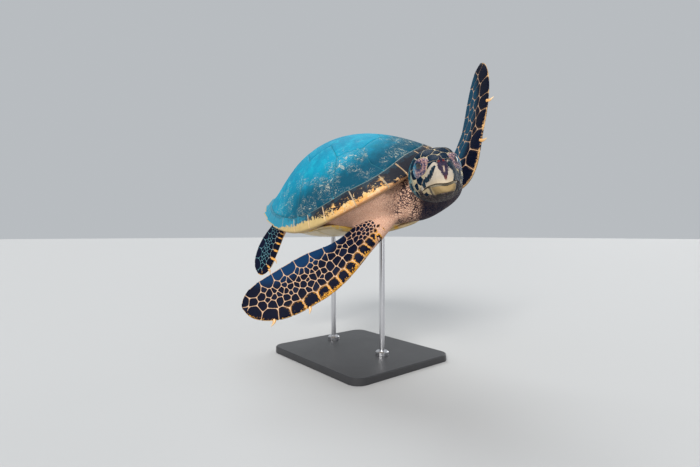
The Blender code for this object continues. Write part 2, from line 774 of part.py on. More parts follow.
def rod_mesh(name, body_y, count=16):
    """A round rod from the base up to the banked underside, cut to lie along it."""
    x0, y0 = rod_place(body_y)
    turns = [2.0 * math.pi * k / count for k in range(count)]
    foot = BASE_SIZE[2] + GAP
    rings = []
    for z, radius in ((foot, ROD_COLLAR_RADIUS), (foot + ROD_COLLAR_HEIGHT - 0.003, ROD_COLLAR_RADIUS),
                      (foot + ROD_COLLAR_HEIGHT, ROD_COLLAR_RADIUS - 0.003),
                      (foot + ROD_COLLAR_HEIGHT, ROD_RADIUS)):
        rings.append([Vector((x0 + radius * math.cos(t), y0 + radius * math.sin(t), z)) for t in turns])
    top = []
    for t in turns:
        x = x0 + ROD_RADIUS * math.cos(t)
        y = y0 + ROD_RADIUS * math.sin(t)
        top.append(Vector((x, y, underside_height(x, y) - 2.0 * GAP)))
    return solid_from_rings(name, rings + [top])


# ---- assembly ---------------------------------------------------------------------------

def build_shells(parent):
    add_part("carapace", carapace_mesh(), material("carapace"), parent)
    add_part("plastron", plastron_mesh(), material("plastron"), parent)


def build_head(parent):
    """Head, beak and eyes, carried from head axes into body axes."""
    left, rear, upper = head_axes()
    turn = Matrix((left, rear, upper)).transposed().to_4x4()
    place = Matrix.Translation(HEAD_CENTRE) @ turn
    finishes = {"head": material("head"), "beak": material("beak"), "eye": material("eye")}
    for name, mesh in head_meshes().items():
        part = add_part(name, mesh, finishes[name.split("_")[0]], parent)
        part.matrix_local = place


def build_limbs(parent):
    flesh = material("flipper")
    horn = material("claw")
    for limb in limb_list():
        name = limb[0]
        add_part(name, limb_mesh(*limb), flesh, parent)
        places = CLAW_PLACES[name]
        for number, part in enumerate(places, start=1):
            claw = name.replace("flipper", "claw") + "_" + str(number)
            add_part(claw, claw_mesh(claw, limb, part), horn, parent)


def build_trunk(parent):
    add_part("trunk", trunk_mesh(), material("trunk"), parent)
    add_part("neck", neck_mesh(), material("neck"), parent)
    add_part("tail", tail_mesh(), material("neck"), parent)


def build_stand():
    add_part("stand_base", base_mesh(), material("stand_base"), None, smooth=False)
    steel = material("stand_rod")
    for name, body_y in ROD_PLACES.items():
        add_part(name, rod_mesh(name, body_y), steel, None)


def main():
    clear_scene()
    body = bpy.data.objects.new("body_axes", None)
    bpy.context.scene.collection.objects.link(body)
    body.matrix_world = body_matrix()
    build_shells(body)
    build_head(body)
    build_trunk(body)
    build_limbs(body)
    build_stand()


main()
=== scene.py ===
"""Looks of the hawksbill sea turtle on its display stand.

Body axes: +X is the turtle's left, +Y runs to its tail, +Z is the top of its shell. Shapes are
made in body axes and carried into the world by BODY, as the CAD is. Every piece but the
stand carries its place in body axes as an attribute named "at", which the materials use for
their patterns.
"""

import math
from itertools import product

import bmesh
import bpy
import numpy as np
from mathutils import Matrix, Vector
from mathutils.bvhtree import BVHTree
from mathutils.geometry import delaunay_2d_cdt
from mathutils.kdtree import KDTree


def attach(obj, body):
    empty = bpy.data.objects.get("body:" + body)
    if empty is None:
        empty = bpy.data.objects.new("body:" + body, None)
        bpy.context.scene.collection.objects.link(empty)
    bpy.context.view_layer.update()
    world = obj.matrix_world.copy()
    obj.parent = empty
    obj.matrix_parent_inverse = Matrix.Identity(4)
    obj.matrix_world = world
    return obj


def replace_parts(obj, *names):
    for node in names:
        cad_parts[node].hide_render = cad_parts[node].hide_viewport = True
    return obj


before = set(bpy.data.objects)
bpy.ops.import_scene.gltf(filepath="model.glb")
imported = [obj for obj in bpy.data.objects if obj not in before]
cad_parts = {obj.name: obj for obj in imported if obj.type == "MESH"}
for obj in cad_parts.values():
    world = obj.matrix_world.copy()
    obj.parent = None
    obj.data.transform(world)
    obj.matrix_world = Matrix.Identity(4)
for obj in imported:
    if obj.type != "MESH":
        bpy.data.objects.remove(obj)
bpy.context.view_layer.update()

# ---- sizes shared with the CAD ---------------------------------------------

BODY = Matrix.Translation((-0.050, 0.030, 0.585)) @ Matrix.Rotation(math.radians(-30.0), 4, "Y")
LENGTH = 0.735
HALF_WIDTH = 0.248
RIM_DROP = 0.009
RIM_SHELF = 0.034
SHELL_THICK = 0.012
TOOTH = 0.010
BASE_SINK = 0.0012         # how far the shell's base lies under its outline
PLATE_ROUND = 0.0045       # width of the rounded edge of a flat plate
GROWTH_STEP = 0.011        # distance between a plate's growth rings
GROWTH_RISE = 0.00022
MARGIN_THICK = 0.0015      # of the marginal scutes
MARGIN_ROUND = 0.004
SKIRT_DEPTH = -0.002       # the seam distance given to points below a scute's edge
MARGINAL_SEAMS = (5.0, 18.0, 40.0, 61.0, 74.0, 88.0)
PLASTRON_Y = -0.028
PLASTRON_Z = -0.130
PLASTRON_THICK = 0.009
LOBE_HALF_WIDTH = 0.140
LOBE_HALF_LENGTH = 0.315
BRIDGE_REACH = 0.088       # how far the bridges stand out beyond the lobe
BRIDGE_RISE = 0.082        # and how far they rise to the margin

HEAD_CENTRE = np.array((-0.076, -0.482, 0.034))
HEAD_FORWARD = np.array((-0.569, -0.761, 0.311))
HEAD_UP = np.array((0.364, 0.106, 0.925))
HEAD_BACK_Y = 0.072
EYE_CENTRE = np.array((0.0315, -0.0410, 0.0195))
EYE_RADIUS = 0.0185
CORNEA = 0.0009            # how far the cornea stands out of the eyeball
HEAD_ROWS = (              # y, half width, top and foot of the head's sections
    (0.072, 0.049, 0.040, -0.044),
    (0.048, 0.058, 0.053, -0.055),
    (0.012, 0.063, 0.061, -0.066),
    (-0.022, 0.061, 0.061, -0.070),
    (-0.048, 0.050, 0.052, -0.068),
    (-0.072, 0.036, 0.036, -0.064),
    (-0.094, 0.026, 0.021, -0.060),
    (-0.107, 0.016, 0.002, -0.052),
)
ROUND = 2.3                # power of the superellipse of the head and neck sections
SNOUT_TIP = np.array((0.0, -0.113, -0.030))
HEAD_FORMS = (             # centre, radius and height of brow, cheek, jaw and snout forms
    ((0.036, -0.030, 0.054), 0.022, 0.0030),
    ((0.058, 0.008, -0.020), 0.034, 0.0030),
    ((0.034, -0.066, 0.006), 0.015, -0.0030),
    ((0.030, -0.078, -0.045), 0.016, -0.0025),
    ((0.050, -0.050, -0.046), 0.014, 0.0020),
    ((0.000, -0.082, 0.026), 0.014, 0.0015),
)
NOSE = np.array((0.0, -0.088, 0.026))
NOSTRIL = np.array((0.0055, -0.0955, 0.0195))
NECK_MIDDLE = np.array((-0.02, -0.38, -0.02))

PATH_RIGHT = ((-0.156, -0.263, -0.074), (-0.264, -0.222, -0.108), (-0.358, -0.180, -0.117),
              (-0.448, -0.132, -0.120), (-0.530, -0.068, -0.107))
PATH_LEFT = ((0.156, -0.263, -0.078), (0.188, -0.342, -0.068), (0.266, -0.378, 0.024),
             (0.342, -0.387, 0.114), (0.408, -0.391, 0.205))
EDGE_ROOT = (0.0, -0.90, -0.43)
EDGE_RIGHT = (-0.330, -0.562, -0.760)
EDGE_LEFT = (-0.400, -0.887, 0.233)
PATH_HIND = ((0.136, 0.265, -0.060), (0.182, 0.288, -0.094), (0.234, 0.312, -0.142),
             (0.285, 0.335, -0.200))
EDGE_HIND = (-0.092, -0.855, -0.514)
CLAW_PLACES = {
    "flipper_front_left": (0.45, 0.68),
    "flipper_front_right": (0.60, 0.81),
    "flipper_hind_left": (0.66, 0.86),
    "flipper_hind_right": (0.66, 0.86),
}
CLAW_LEAN = {"flipper_front_left": 0.9}
CLAW_LENGTH = 0.0165
CLAW_CURVE = 0.62          # how far a claw bends towards the limb's tip
TAIL_PATH = ((0.0, 0.335, -0.056), (0.0, 0.370, -0.070), (0.0, 0.410, -0.088))

rng = np.random.default_rng(7)


# ---- small mathematics -----------------------------------------------------

def smooth(low, high, value):
    """0 below low and 1 above high, rounded between; low may be over high, which turns it round."""
    part = np.clip((value - low) / (high - low), 0.0, 1.0)
    return part * part * (3.0 - 2.0 * part)


def mix(first, second, part):
    return first + (second - first) * part


def unit(v):
    v = np.asarray(v, float)
    return v / np.maximum(np.linalg.norm(v, axis=-1, keepdims=True), 1e-12)


def spline(points, part):
    """Catmull-Rom through rows of numbers; part is an array from 0 to 1."""
    rows = np.asarray(points, float)
    count = len(rows) - 1
    rows = np.vstack([2.0 * rows[:1] - rows[1:2], rows, 2.0 * rows[-1:] - rows[-2:-1]])
    place = np.clip(np.asarray(part, float), 0.0, 1.0) * count
    index = np.minimum(place.astype(int), count - 1)
    t = (place - index)[..., None]
    a, b, c, d = rows[index], rows[index + 1], rows[index + 2], rows[index + 3]
    return 0.5 * (2.0 * b + (c - a) * t + (2.0 * a - 5.0 * b + 4.0 * c - d) * t ** 2
                  + (3.0 * b - a - 3.0 * c + d) * t ** 3)


def full_turn(count):
    """Angles of even steps once round a circle, in radians."""
    return np.linspace(0.0, 2.0 * math.pi, count + 1)[:-1]


def in_plan(points):
    """Unit directions in plan from the middle of the shell to points."""
    return unit(points * np.array((1.0, 1.0, 0.0)))


def bend(value, power):
    """A power that keeps the sign."""
    return np.sign(value) * np.abs(value) ** power


def cloud(p, scale, seed, octaves):
    """Smooth random values round 0, about -1 to 1, at points p."""
    total = np.zeros(p.shape[:-1])
    for k in range(octaves):
        q = p * scale * 2.0 ** k + 17.3 * (seed + k)
        base = np.floor(q).astype(np.int64)
        f = q - base
        f = f * f * (3.0 - 2.0 * f)
        value = np.zeros(total.shape)
        for dx, dy, dz in product((0, 1), repeat=3):
            n = (base[..., 0] + dx) * 73856093 ^ (base[..., 1] + dy) * 19349663
            n = n ^ (base[..., 2] + dz) * 83492791 ^ (seed + k) * 2654435761
            n = (n ^ (n >> 13)) * 1274126177
            h = ((n ^ (n >> 16)) & 0xFFFF) / 32767.5 - 1.0
            w = np.abs(1 - dx - f[..., 0]) * np.abs(1 - dy - f[..., 1])
            value += h * w * np.abs(1 - dz - f[..., 2])
        total += value * 0.5 ** k
    return total


def grid_faces(rows, columns, closed=False):
    """Faces of a grid of points; closed joins the last column to the first."""
    i = np.arange(rows - 1)[:, None]
    j = np.arange(columns if closed else columns - 1)[None, :]
    nxt = (j + 1) % columns
    quads = [i * columns + j, i * columns + nxt, (i + 1) * columns + nxt, (i + 1) * columns + j]
    return np.stack(np.broadcast_arrays(*quads), -1).reshape(-1, 4).tolist()


def grid_normals(p):
    """Normals of a grid of points."""
    return unit(np.cross(np.gradient(p, axis=0), np.gradient(p, axis=1)))


def border_of(rows, columns):
    """The points round the border of a grid, in order."""
    border = [(0, j) for j in range(columns)] + [(i, columns - 1) for i in range(1, rows)]
    border += [(rows - 1, j) for j in range(columns - 2, -1, -1)]
    border += [(i, 0) for i in range(rows - 2, 0, -1)]
    return np.array([i * columns + j for i, j in border])


def skirt_faces(ring, start):
    """Faces from a ring of points to a copy of it whose points begin at start."""
    after = np.roll(ring, -1)
    copy = start + np.arange(len(ring))
    return np.stack([ring, copy, np.roll(copy, -1), after], -1).tolist()


def fan_faces(first, count, tip):
    """Triangles from a ring of points, which begins at first, to one tip."""
    return [[first + k, first + (k + 1) % count, tip] for k in range(count)]


def ring_solid(rings):
    """Points and faces of a solid made of rings and closed at both ends."""
    count = len(rings[0])
    points = np.concatenate(rings)
    faces = grid_faces(len(rings), count, True)
    faces += [list(range(count))[::-1], [len(points) - count + k for k in range(count)]]
    return points, faces


def slope_normal(height, x, y, reach, steepest, way):
    """Normals of a surface given by its height over the plan; way is 1 for up, -1 for down."""
    dx = (height(x + reach, y) - height(x - reach, y)) / (2.0 * reach)
    dy = (height(x, y + reach) - height(x, y - reach)) / (2.0 * reach)
    slopes = [-np.clip(slope, -steepest, steepest) for slope in (dx, dy)]
    return unit(way * np.stack([*slopes, np.ones_like(dx)], -1))


# ---- scene helpers ---------------------------------------------------------

def make_mesh(name, points, faces):
    mesh = bpy.data.meshes.new(name)
    mesh.from_pydata(np.asarray(points, float).tolist(), [], faces)
    mesh.update()
    return mesh


def rework(mesh, merge=0.0, split=False, turn=False):
    """Merges near points, splits faces of over four corners and turns faces outward."""
    work = bmesh.new()
    work.from_mesh(mesh)
    if merge:
        bmesh.ops.remove_doubles(work, verts=work.verts, dist=merge)
    if split:
        bmesh.ops.triangulate(work, faces=[f for f in work.faces if len(f.verts) > 4])
    if turn:
        bmesh.ops.recalc_face_normals(work, faces=work.faces)
    work.to_mesh(mesh)
    work.free()


def points_of(mesh):
    """The places of a mesh's points."""
    flat = np.zeros(len(mesh.vertices) * 3)
    mesh.vertices.foreach_get("co", flat)
    return flat.reshape(-1, 3)


def set_points(mesh, points):
    mesh.vertices.foreach_set("co", np.asarray(points, float).ravel())
    mesh.update()


def carry(matrix, points):
    """Points moved by a 4 x 4 matrix."""
    m = np.array(matrix)
    return points @ m[:3, :3].T + m[:3, 3]


def show(name, data):
    """An object of a mesh, lamp or camera, linked to the scene."""
    obj = bpy.data.objects.new(name, data)
    bpy.context.scene.collection.objects.link(obj)
    return obj


def piece(name, points, faces, finish, slot, turn=True, uv=None, **layers):
    """A mesh piece of the object, made from body axes, with its attributes and material."""
    points = np.asarray(points, float)
    mesh = make_mesh(name, carry(BODY, points), faces)
    if turn:
        rework(mesh, turn=True)
    mesh.polygons.foreach_set("use_smooth", [True] * len(mesh.polygons))
    for key, value in dict(layers, at=points).items():
        value = np.asarray(value, np.float32)
        kind, field = ("FLOAT_VECTOR", "vector") if value.ndim == 2 else ("FLOAT", "value")
        mesh.attributes.new(key, kind, "POINT").data.foreach_set(field, value.ravel())
    if uv is not None:
        loops = np.zeros(len(mesh.loops), np.int32)
        mesh.loops.foreach_get("vertex_index", loops)
        layer = mesh.uv_layers.new(name="OFBake")
        layer.uv.foreach_set("vector", np.asarray(uv, np.float32)[loops].ravel())
    obj = show(name, mesh)
    mesh.materials.append(finish)
    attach(obj, "root")
    return obj


class Value:
    """An output of a material's node; sums and products of values add Math nodes."""

    def __init__(self, paint, socket):
        self.paint = paint
        self.socket = socket

    def __add__(self, other):
        return self.paint.maths("ADD", self, other)

    def __radd__(self, other):
        return self.paint.maths("ADD", other, self)

    def __sub__(self, other):
        return self.paint.maths("SUBTRACT", self, other)

    def __rsub__(self, other):
        return self.paint.maths("SUBTRACT", other, self)

    def __mul__(self, other):
        return self.paint.maths("MULTIPLY", self, other)


class Paint:
    """A Principled material and short calls that add nodes to it."""

    def __init__(self, name, roughness, shine=0.5, metallic=0.0, coat=0.0, coat_rough=0.1,
                 soft=0.0):
        self.mat = bpy.data.materials.new(name)
        self.mat.use_nodes = True
        self.tree = self.mat.node_tree
        self.shader = self.tree.nodes["Principled BSDF"]
        self.height = None
        settings = {
            "Roughness": roughness,
            "Specular IOR Level": shine,
            "Metallic": metallic,
            "Coat Weight": coat,
            "Coat Roughness": coat_rough,
            "Subsurface Weight": soft,
            "Subsurface Scale": 0.01,
        }
        for socket, number in settings.items():
            self.shader.inputs[socket].default_value = number

    def node(self, kind, **settings):
        made = self.tree.nodes.new("ShaderNode" + kind)
        for key, value in settings.items():
            setattr(made, key, value)
        return made

    def put(self, socket, value):
        if isinstance(value, Value):
            self.tree.links.new(value.socket, socket)
        elif socket.type == "RGBA":
            socket.default_value = (*value, 1.0)
        else:
            socket.default_value = value

    def result(self, made, output, **inputs):
        """Sets a node's inputs, named with low lines for spaces, and gives one of its outputs."""
        for key, value in inputs.items():
            self.put(made.inputs[key.replace("_", " ")], value)
        return Value(self, made.outputs[output])

    def attr(self, name, output="Fac"):
        return self.result(self.node("Attribute", attribute_name=name), output)

    def at(self, name="at"):
        """A place on the piece, in body axes or those of the named attribute."""
        return self.attr(name, "Vector")

    def noise(self, scale, detail=3.0, rough=0.5, where=None, distortion=0.0):
        return self.result(self.node("TexNoise"), "Fac", Vector=where or self.at(), Scale=scale,
                           Detail=detail, Roughness=rough, Distortion=distortion)

    def cells(self, scale, where=None, feature="DISTANCE_TO_EDGE"):
        """Distance to the edge of the nearest of many random cells, or F1 to its middle."""
        made = self.node("TexVoronoi", feature=feature)
        return self.result(made, "Distance", Vector=where or self.at(), Scale=scale)

    def stretch(self, factors, where=None):
        return self.result(self.node("Mapping"), "Vector", Vector=where or self.at(), Scale=factors)

    def maths(self, operation, *values):
        made = self.node("Math", operation=operation)
        for socket, value in zip(made.inputs, values):
            self.put(socket, value)
        return Value(self, made.outputs[0])

    def step(self, value, low, high):
        """0 below low and 1 above high; low may be over high, which turns it round."""
        ends = (low, high, 0.0, 1.0) if low <= high else (high, low, 1.0, 0.0)
        return self.result(self.node("MapRange", interpolation_type="SMOOTHSTEP"), "Result",
                           Value=value, From_Min=ends[0], From_Max=ends[1], To_Min=ends[2],
                           To_Max=ends[3])

    def blend(self, part, first, second):
        made = self.node("Mix", data_type="RGBA")
        self.put(made.inputs["Factor"], part)
        self.put(made.inputs[6], first)
        self.put(made.inputs[7], second)
        return Value(self, made.outputs[2])

    def split(self, vector):
        made = self.node("SeparateXYZ")
        self.put(made.inputs[0], vector)
        return {key: Value(self, made.outputs[key]) for key in "XYZ"}

    def colour(self, value):
        self.put(self.shader.inputs["Base Color"], value)

    def rough(self, low, high, part):
        level = self.result(self.node("MapRange"), "Result", Value=part, To_Min=low, To_Max=high)
        self.put(self.shader.inputs["Roughness"], level)

    def bump(self, height, strength, distance):
        """Adds relief of a depth in metres on top of the relief so far."""
        more = {"Normal": self.height} if self.height else {}
        self.height = self.result(self.node("Bump"), "Normal", Height=height, Strength=strength,
                                  Distance=distance, **more)
        self.put(self.shader.inputs["Normal"], self.height)


# ---- shell -----------------------------------------------------------------

def rim(angle):
    """Places on the shell's margin; 0 is the front, 90 the left side, -90 the right."""
    angle = np.asarray(angle, float)
    turn = np.radians(np.abs(angle))
    along = turn / math.pi
    cosine = np.cos(turn)
    sine = np.maximum(np.sin(turn), 0.0)
    half = HALF_WIDTH * sine ** mix(0.69, 0.86, along) * (1.0 + 0.06 * cosine)
    z = 0.035 * np.maximum(cosine, 0.0) ** 1.5 + 0.022 * np.maximum(-cosine, 0.0) ** 1.5
    z = z - 0.030 * np.exp(-((along - 0.52) / 0.25) ** 2) * sine
    return np.stack([np.where(angle < 0.0, -half, half), -LENGTH / 2.0 * cosine, z], -1)


def rim_beside(y):
    """The margin on the left at y, and how far along the shell y lies."""
    along = np.clip((y + LENGTH / 2.0) / LENGTH, 0.0, 1.0)
    return rim(np.degrees(np.arccos(1.0 - 2.0 * along))), along


def dome(x, y):
    """Height of the shell's upper surface over places in plan."""
    edge, along = rim_beside(y)
    flare = 0.34 * smooth(0.55, 0.95, along)
    crest = mix(0.035, 0.022, along)
    crest = crest + 0.141 * np.maximum(np.sin(math.pi * along ** 0.80), 0.0) ** (0.97 + 0.7 * flare)
    across = np.minimum(np.abs(x) / np.maximum(edge[..., 0], 1e-6), 1.0)
    return mix(edge[..., 2], crest, (1.0 - across ** 2) ** (0.88 + flare))


def dome_normal(x, y):
    """Upward normals of the dome."""
    return slope_normal(dome, x, y, 0.0015, 4.0, 1.0)


def margin_seams():
    """Angles of the seams between the marginal scutes of one side."""
    seams = list(MARGINAL_SEAMS)
    step = (180.0 - seams[-1]) / (13 - len(seams))
    return seams + [seams[-1] + step * (k + 1) for k in range(13 - len(seams))]


SEAMS = margin_seams()


def tooth(angle):
    """How far the margin's saw teeth stand out, at an angle round the shell."""
    size = np.abs(np.asarray(angle, float))
    k = np.clip(np.searchsorted(SEAMS, size, side="right") - 1, 0, 11)
    start = np.array(SEAMS)[k]
    stop = np.array(SEAMS)[k + 1]
    part = np.clip((size - start) / (stop - start), 0.0, 1.0)
    depth = TOOTH * smooth(4.0, 9.0, k + 0.0)
    return depth * part ** 1.5 * (1.0 - smooth(0.93, 1.0, part))


def outer_rim(angle, extra=0.0):
    """The toothed margin, moved outward in plan by extra."""
    p = rim(angle)
    return p + in_plan(p) * (tooth(angle) + extra)[..., None]


def band_width(angle):
    """Width in plan of the marginal scutes."""
    places = (0, 20, 42, 62, 75, 90, 110, 135, 160, 180)
    widths = (0.036, 0.036, 0.037, 0.027, 0.021, 0.019, 0.024, 0.035, 0.046, 0.050)
    return np.interp(np.abs(angle), places, widths)


def inner_seam(angle):
    """The seam between the marginal scutes and the plates inside them."""
    p = rim(angle)
    q = p - in_plan(p) * band_width(angle)[..., None]
    q[..., 2] = dome(q[..., 0], q[..., 1])
    return q


def dome_ring(edge, part, under):
    """The margin drawn in to a part of its size, on the dome or under it."""
    x, y = (edge[:, :2] * part).T
    return np.stack([x, y, dome(x, y) - under], -1)


def shell_base():
    """The whole upper shell under its scutes, closed, in the colour of the seams."""
    edge = outer_rim(np.linspace(-180.0, 180.0, 361)[:-1], -BASE_SINK)
    edge[:, 2] -= BASE_SINK
    outer = (0.02, 0.1, 0.2, 0.3, 0.4, 0.5, 0.58, 0.66, 0.73, 0.79, 0.84, 0.88, 0.92, 0.95, 0.975)
    rings = [dome_ring(edge, part, BASE_SINK) for part in outer] + [edge]
    for inward, down in ((0.0, 0.004), (0.002, 0.0075), (0.006, RIM_DROP), (RIM_SHELF, RIM_DROP)):
        rings.append(edge - in_plan(edge) * inward - np.array((0.0, 0.0, down)))
    rings += [dome_ring(edge, part, SHELL_THICK) for part in (0.80, 0.62, 0.42, 0.22, 0.02)]
    return ring_solid(rings)


def edge_distance(points, ring):
    """Distance in plan from points to a closed outline."""
    best = np.full(len(points), 1e9)
    for a, b in zip(ring, np.roll(ring, -1, 0)):
        ab = b - a
        t = np.clip(((points - a) @ ab) / max(ab @ ab, 1e-12), 0.0, 1.0)
        best = np.minimum(best, np.hypot(*(points - a - t[:, None] * ab).T))
    return best


def resample(ring, step):
    """Points at an even step along a closed outline, keeping its corners."""
    made = []
    for a, b in zip(ring, np.roll(ring, -1, 0)):
        count = max(int(round(np.linalg.norm(b - a) / step)), 1)
        made += [a + (b - a) * k / count for k in range(count)]
    return np.array(made)


def ring_size(ring):
    """Mean distance of an outline from its middle."""
    return np.hypot(*(ring - ring.mean(0)).T).mean()


def inside(points, ring):
    """Whether places in plan lie inside a closed outline."""
    result = np.zeros(len(points), bool)
    x, y = points[:, 0], points[:, 1]
    for a, b in zip(ring, np.roll(ring, -1, 0)):
        cross = (a[1] > y) != (b[1] > y)
        at = (b[0] - a[0]) * (y - a[1]) / (b[1] - a[1] + 1e-15) + a[0]
        result ^= cross & (x < at)
    return result


def round_corners(ring, keep):
    """An outline with its corners cut twice; keep is the part of each side that ends stay at."""
    for _ in range(2):
        after = np.roll(ring, -1, 0)
        ring = np.stack([mix(ring, after, 1.0 - keep), mix(ring, after, keep)], 1).reshape(-1, 2)
    return ring


def fill_outline(ring, step):
    """Points and triangles that fill an outline; the outline's own points come first."""
    low, high = ring.min(0), ring.max(0)
    xs = np.arange(low[0], high[0], step)
    rows = []
    for k, y in enumerate(np.arange(low[1], high[1], step * 0.866)):
        rows.append(np.stack([xs + (0.5 * step if k % 2 else 0.0), np.full(len(xs), y)], -1))
    loose = np.concatenate(rows)
    loose = loose[inside(loose, ring)]
    if len(loose):
        loose = loose[edge_distance(loose, ring) > step * 0.45]
    edges = [(k, (k + 1) % len(ring)) for k in range(len(ring))]
    made = delaunay_2d_cdt([Vector(p) for p in (*ring, *loose)], edges, [], 1, 1e-7)
    return np.array(made[0]), [list(f) for f in made[2]]


class Heap:
    """Collects parts of one mesh with their per-point values."""

    def __init__(self):
        self.points = []
        self.faces = []
        self.layers = {}
        self.uv = []
        self.count = 0

    def add(self, points, faces, uv=None, **layers):
        self.points.append(np.asarray(points, float))
        self.faces += [[int(i) + self.count for i in face] for face in faces]
        for key, value in layers.items():
            value = np.broadcast_to(np.asarray(value, float), (len(points),))
            self.layers.setdefault(key, []).append(value)
        if uv is not None:
            self.uv.append(uv)
        self.count += len(points)

    def make(self, name, finish, slot, **more):
        layers = {key: np.concatenate(value) for key, value in self.layers.items()}
        uv = np.concatenate(self.uv) if self.uv else None
        return piece(name, np.concatenate(self.points), self.faces, finish, slot, uv=uv,
                     **layers, **more)


def plan_plate(heap, outline, surface, normal_of, thick, sink, step, gap, rear_lift=0.0):
    """A horn plate on a surface that stands over the plan, with a rounded, sunk edge."""
    ring = resample(np.asarray(outline, float), 0.02)
    ring = resample(round_corners(ring, 0.8), step)
    ring = mix(ring, ring.mean(0), gap / ring_size(ring))
    flat, faces = fill_outline(ring, step)
    depth = edge_distance(flat, ring)
    depth[:len(ring)] = 0.0
    n = normal_of(flat[:, 0], flat[:, 1])
    base = np.column_stack([flat, surface(flat[:, 0], flat[:, 1])])
    low, high = flat[:, 1].min(), flat[:, 1].max()
    back = (flat[:, 1] - low) / max(high - low, 1e-6)
    profile = 1.0 - (1.0 - np.clip(depth / PLATE_ROUND, 0.0, 1.0)) ** 2
    growth = GROWTH_RISE * np.sin(depth * 2.0 * math.pi / GROWTH_STEP) * smooth(0.0, 0.02, depth)
    up = thick * (0.72 + 0.28 * profile) + rear_lift * back * smooth(0.0, 0.03, depth + 0.02)
    up = up + growth
    top = base + n * up[:, None]
    count = len(ring)
    points = np.concatenate([top, base[:count] - n[:count] * sink])
    heap.add(points, faces + skirt_faces(np.arange(count), len(top)),
             seam=np.concatenate([depth, np.full(count, SKIRT_DEPTH)]),
             wide=np.hypot(points[:, 0] / HALF_WIDTH, points[:, 1] * 2.0 / LENGTH))


def mirror_outline(outline):
    """An outline in plan mirrored left to right, running the same way round."""
    return [(-x, y) for x, y in reversed(outline)]


def seam_arc(start, stop, count=14):
    """Plan points along the seam inside the marginals; the angles may cross the rear."""
    angles = np.linspace(start, stop, count)
    angles = np.where(angles > 180.0, angles - 360.0, angles)
    return [tuple(p[:2]) for p in inner_seam(angles)]


def main_scutes(finish):
    """Five vertebral and eight costal scutes."""
    heap = Heap()
    ends = ((0.044, -0.232), (0.046, -0.100), (0.043, 0.038), (0.036, 0.172))
    corners = ((0.084, -0.283), (0.094, -0.166), (0.096, -0.030), (0.088, 0.106), (0.070, 0.238))
    arcs = (13.0, 52.0, 84.0, 112.0, 148.0)
    costals = []
    for k in range(4):
        costals.append(seam_arc(arcs[k], arcs[k + 1]) + [corners[k + 1], ends[k], corners[k]])
    first, last = [corners[0], ends[0]], [ends[3], corners[4]]
    vertebrals = [seam_arc(-arcs[0], arcs[0]) + first + mirror_outline(first)]
    for k in range(1, 4):
        half = [ends[k - 1], corners[k], ends[k]]
        vertebrals.append(half + mirror_outline(half))
    rear = seam_arc(arcs[4], 360.0 - arcs[4], 22)
    vertebrals.append(last + rear + mirror_outline(last))
    for outline in costals:
        for side in (outline, mirror_outline(outline)):
            plan_plate(heap, side, dome, dome_normal, 0.0007, 0.002, 0.006, 0.0002, 0.0003)
    for outline in vertebrals:
        plan_plate(heap, outline, dome, dome_normal, 0.0008, 0.002, 0.006, 0.0002, 0.0003)
    return heap.make("carapace_scutes", finish, "shell_upper")


def wrapped(angle, share):
    """The margin from its inner seam at share 0, over its edge at 1, to its underside at 2."""
    inner, outer = inner_seam(angle), outer_rim(angle)
    if share <= 1.0:
        p = mix(inner, outer, share)
        p[:, 2] = outer[:, 2] if share == 1.0 else dome(p[:, 0], p[:, 1])
        return p
    under = share - 1.0
    inward = 0.0062 * smooth(0.0, 0.35, under) + RIM_SHELF * 0.8 * max(under - 0.3, 0.0)
    p = outer - in_plan(outer) * inward
    p[:, 2] = outer[:, 2] - RIM_DROP * smooth(-0.05, 0.33, under)
    return p


def marginal_scutes(finish):
    """The nuchal scute and twelve marginals a side, each wrapped round the shell's edge."""
    heap = Heap()
    spans = [(-SEAMS[0], SEAMS[0])]
    for start, stop in zip(SEAMS, SEAMS[1:]):
        spans += [(start, stop), (-stop, -start)]
    rows = np.concatenate([np.linspace(0.0, 1.0, 15), [1.10, 1.2, 1.35, 1.6, 1.8, 2.0]])
    for start, stop in spans:
        length = np.linalg.norm(rim(stop) - rim(start))
        columns = max(int(length / 0.003), 8)
        gap = 0.0006 / length
        u = np.linspace(gap, 1.0 - gap, columns)
        angle = mix(start, stop, u)
        grid = np.array([wrapped(angle, share) for share in rows])
        n = grid_normals(grid)
        if n[3:9, :, 2].sum() < 0.0:
            n = -n
        size = np.linalg.norm(grid[0] - outer_rim(angle), axis=1).mean()
        v, w, a = np.broadcast_arrays(rows[:, None], u[None, :], np.abs(angle)[None, :])
        depth = np.minimum(np.minimum(w, 1.0 - w) * length, v * size)
        profile = 1.0 - (1.0 - np.clip(depth / MARGIN_ROUND, 0.0, 1.0)) ** 2
        fade = 1.0 - smooth(1.3, 2.0, v)
        up = MARGIN_THICK * (0.25 + 0.75 * profile) * mix(0.5, 1.0, fade)
        top = (grid + n * up[..., None]).reshape(-1, 3)
        index = border_of(*grid.shape[:2])
        base = grid.reshape(-1, 3)[index] - n.reshape(-1, 3)[index] * 0.0022
        faces = grid_faces(*grid.shape[:2]) + skirt_faces(index, len(top))
        heap.add(np.concatenate([top, base]), faces,
                 seam=np.concatenate([depth.ravel(), np.full(len(index), SKIRT_DEPTH)]),
                 across=np.concatenate([v.ravel(), v.ravel()[index]]),
                 round=np.concatenate([a.ravel(), a.ravel()[index]]))
    return heap.make("marginal_scutes", finish, "shell_upper")


# ---- lower shell -----------------------------------------------------------

def bridge_share(angle):
    """1 where a bridge joins the two shells, 0 away from it; 0 degrees is the front."""
    return 1.0 - smooth(30.0, 60.0, np.abs(np.abs(angle) - 90.0))


def plastron_radius(angle):
    """Reach of the lower shell from its middle in plan, at an angle from the front."""
    turn = np.radians(angle)
    lobe = 1.0 / np.hypot(np.sin(turn) / LOBE_HALF_WIDTH, np.cos(turn) / LOBE_HALF_LENGTH)
    return lobe + BRIDGE_REACH * bridge_share(angle)


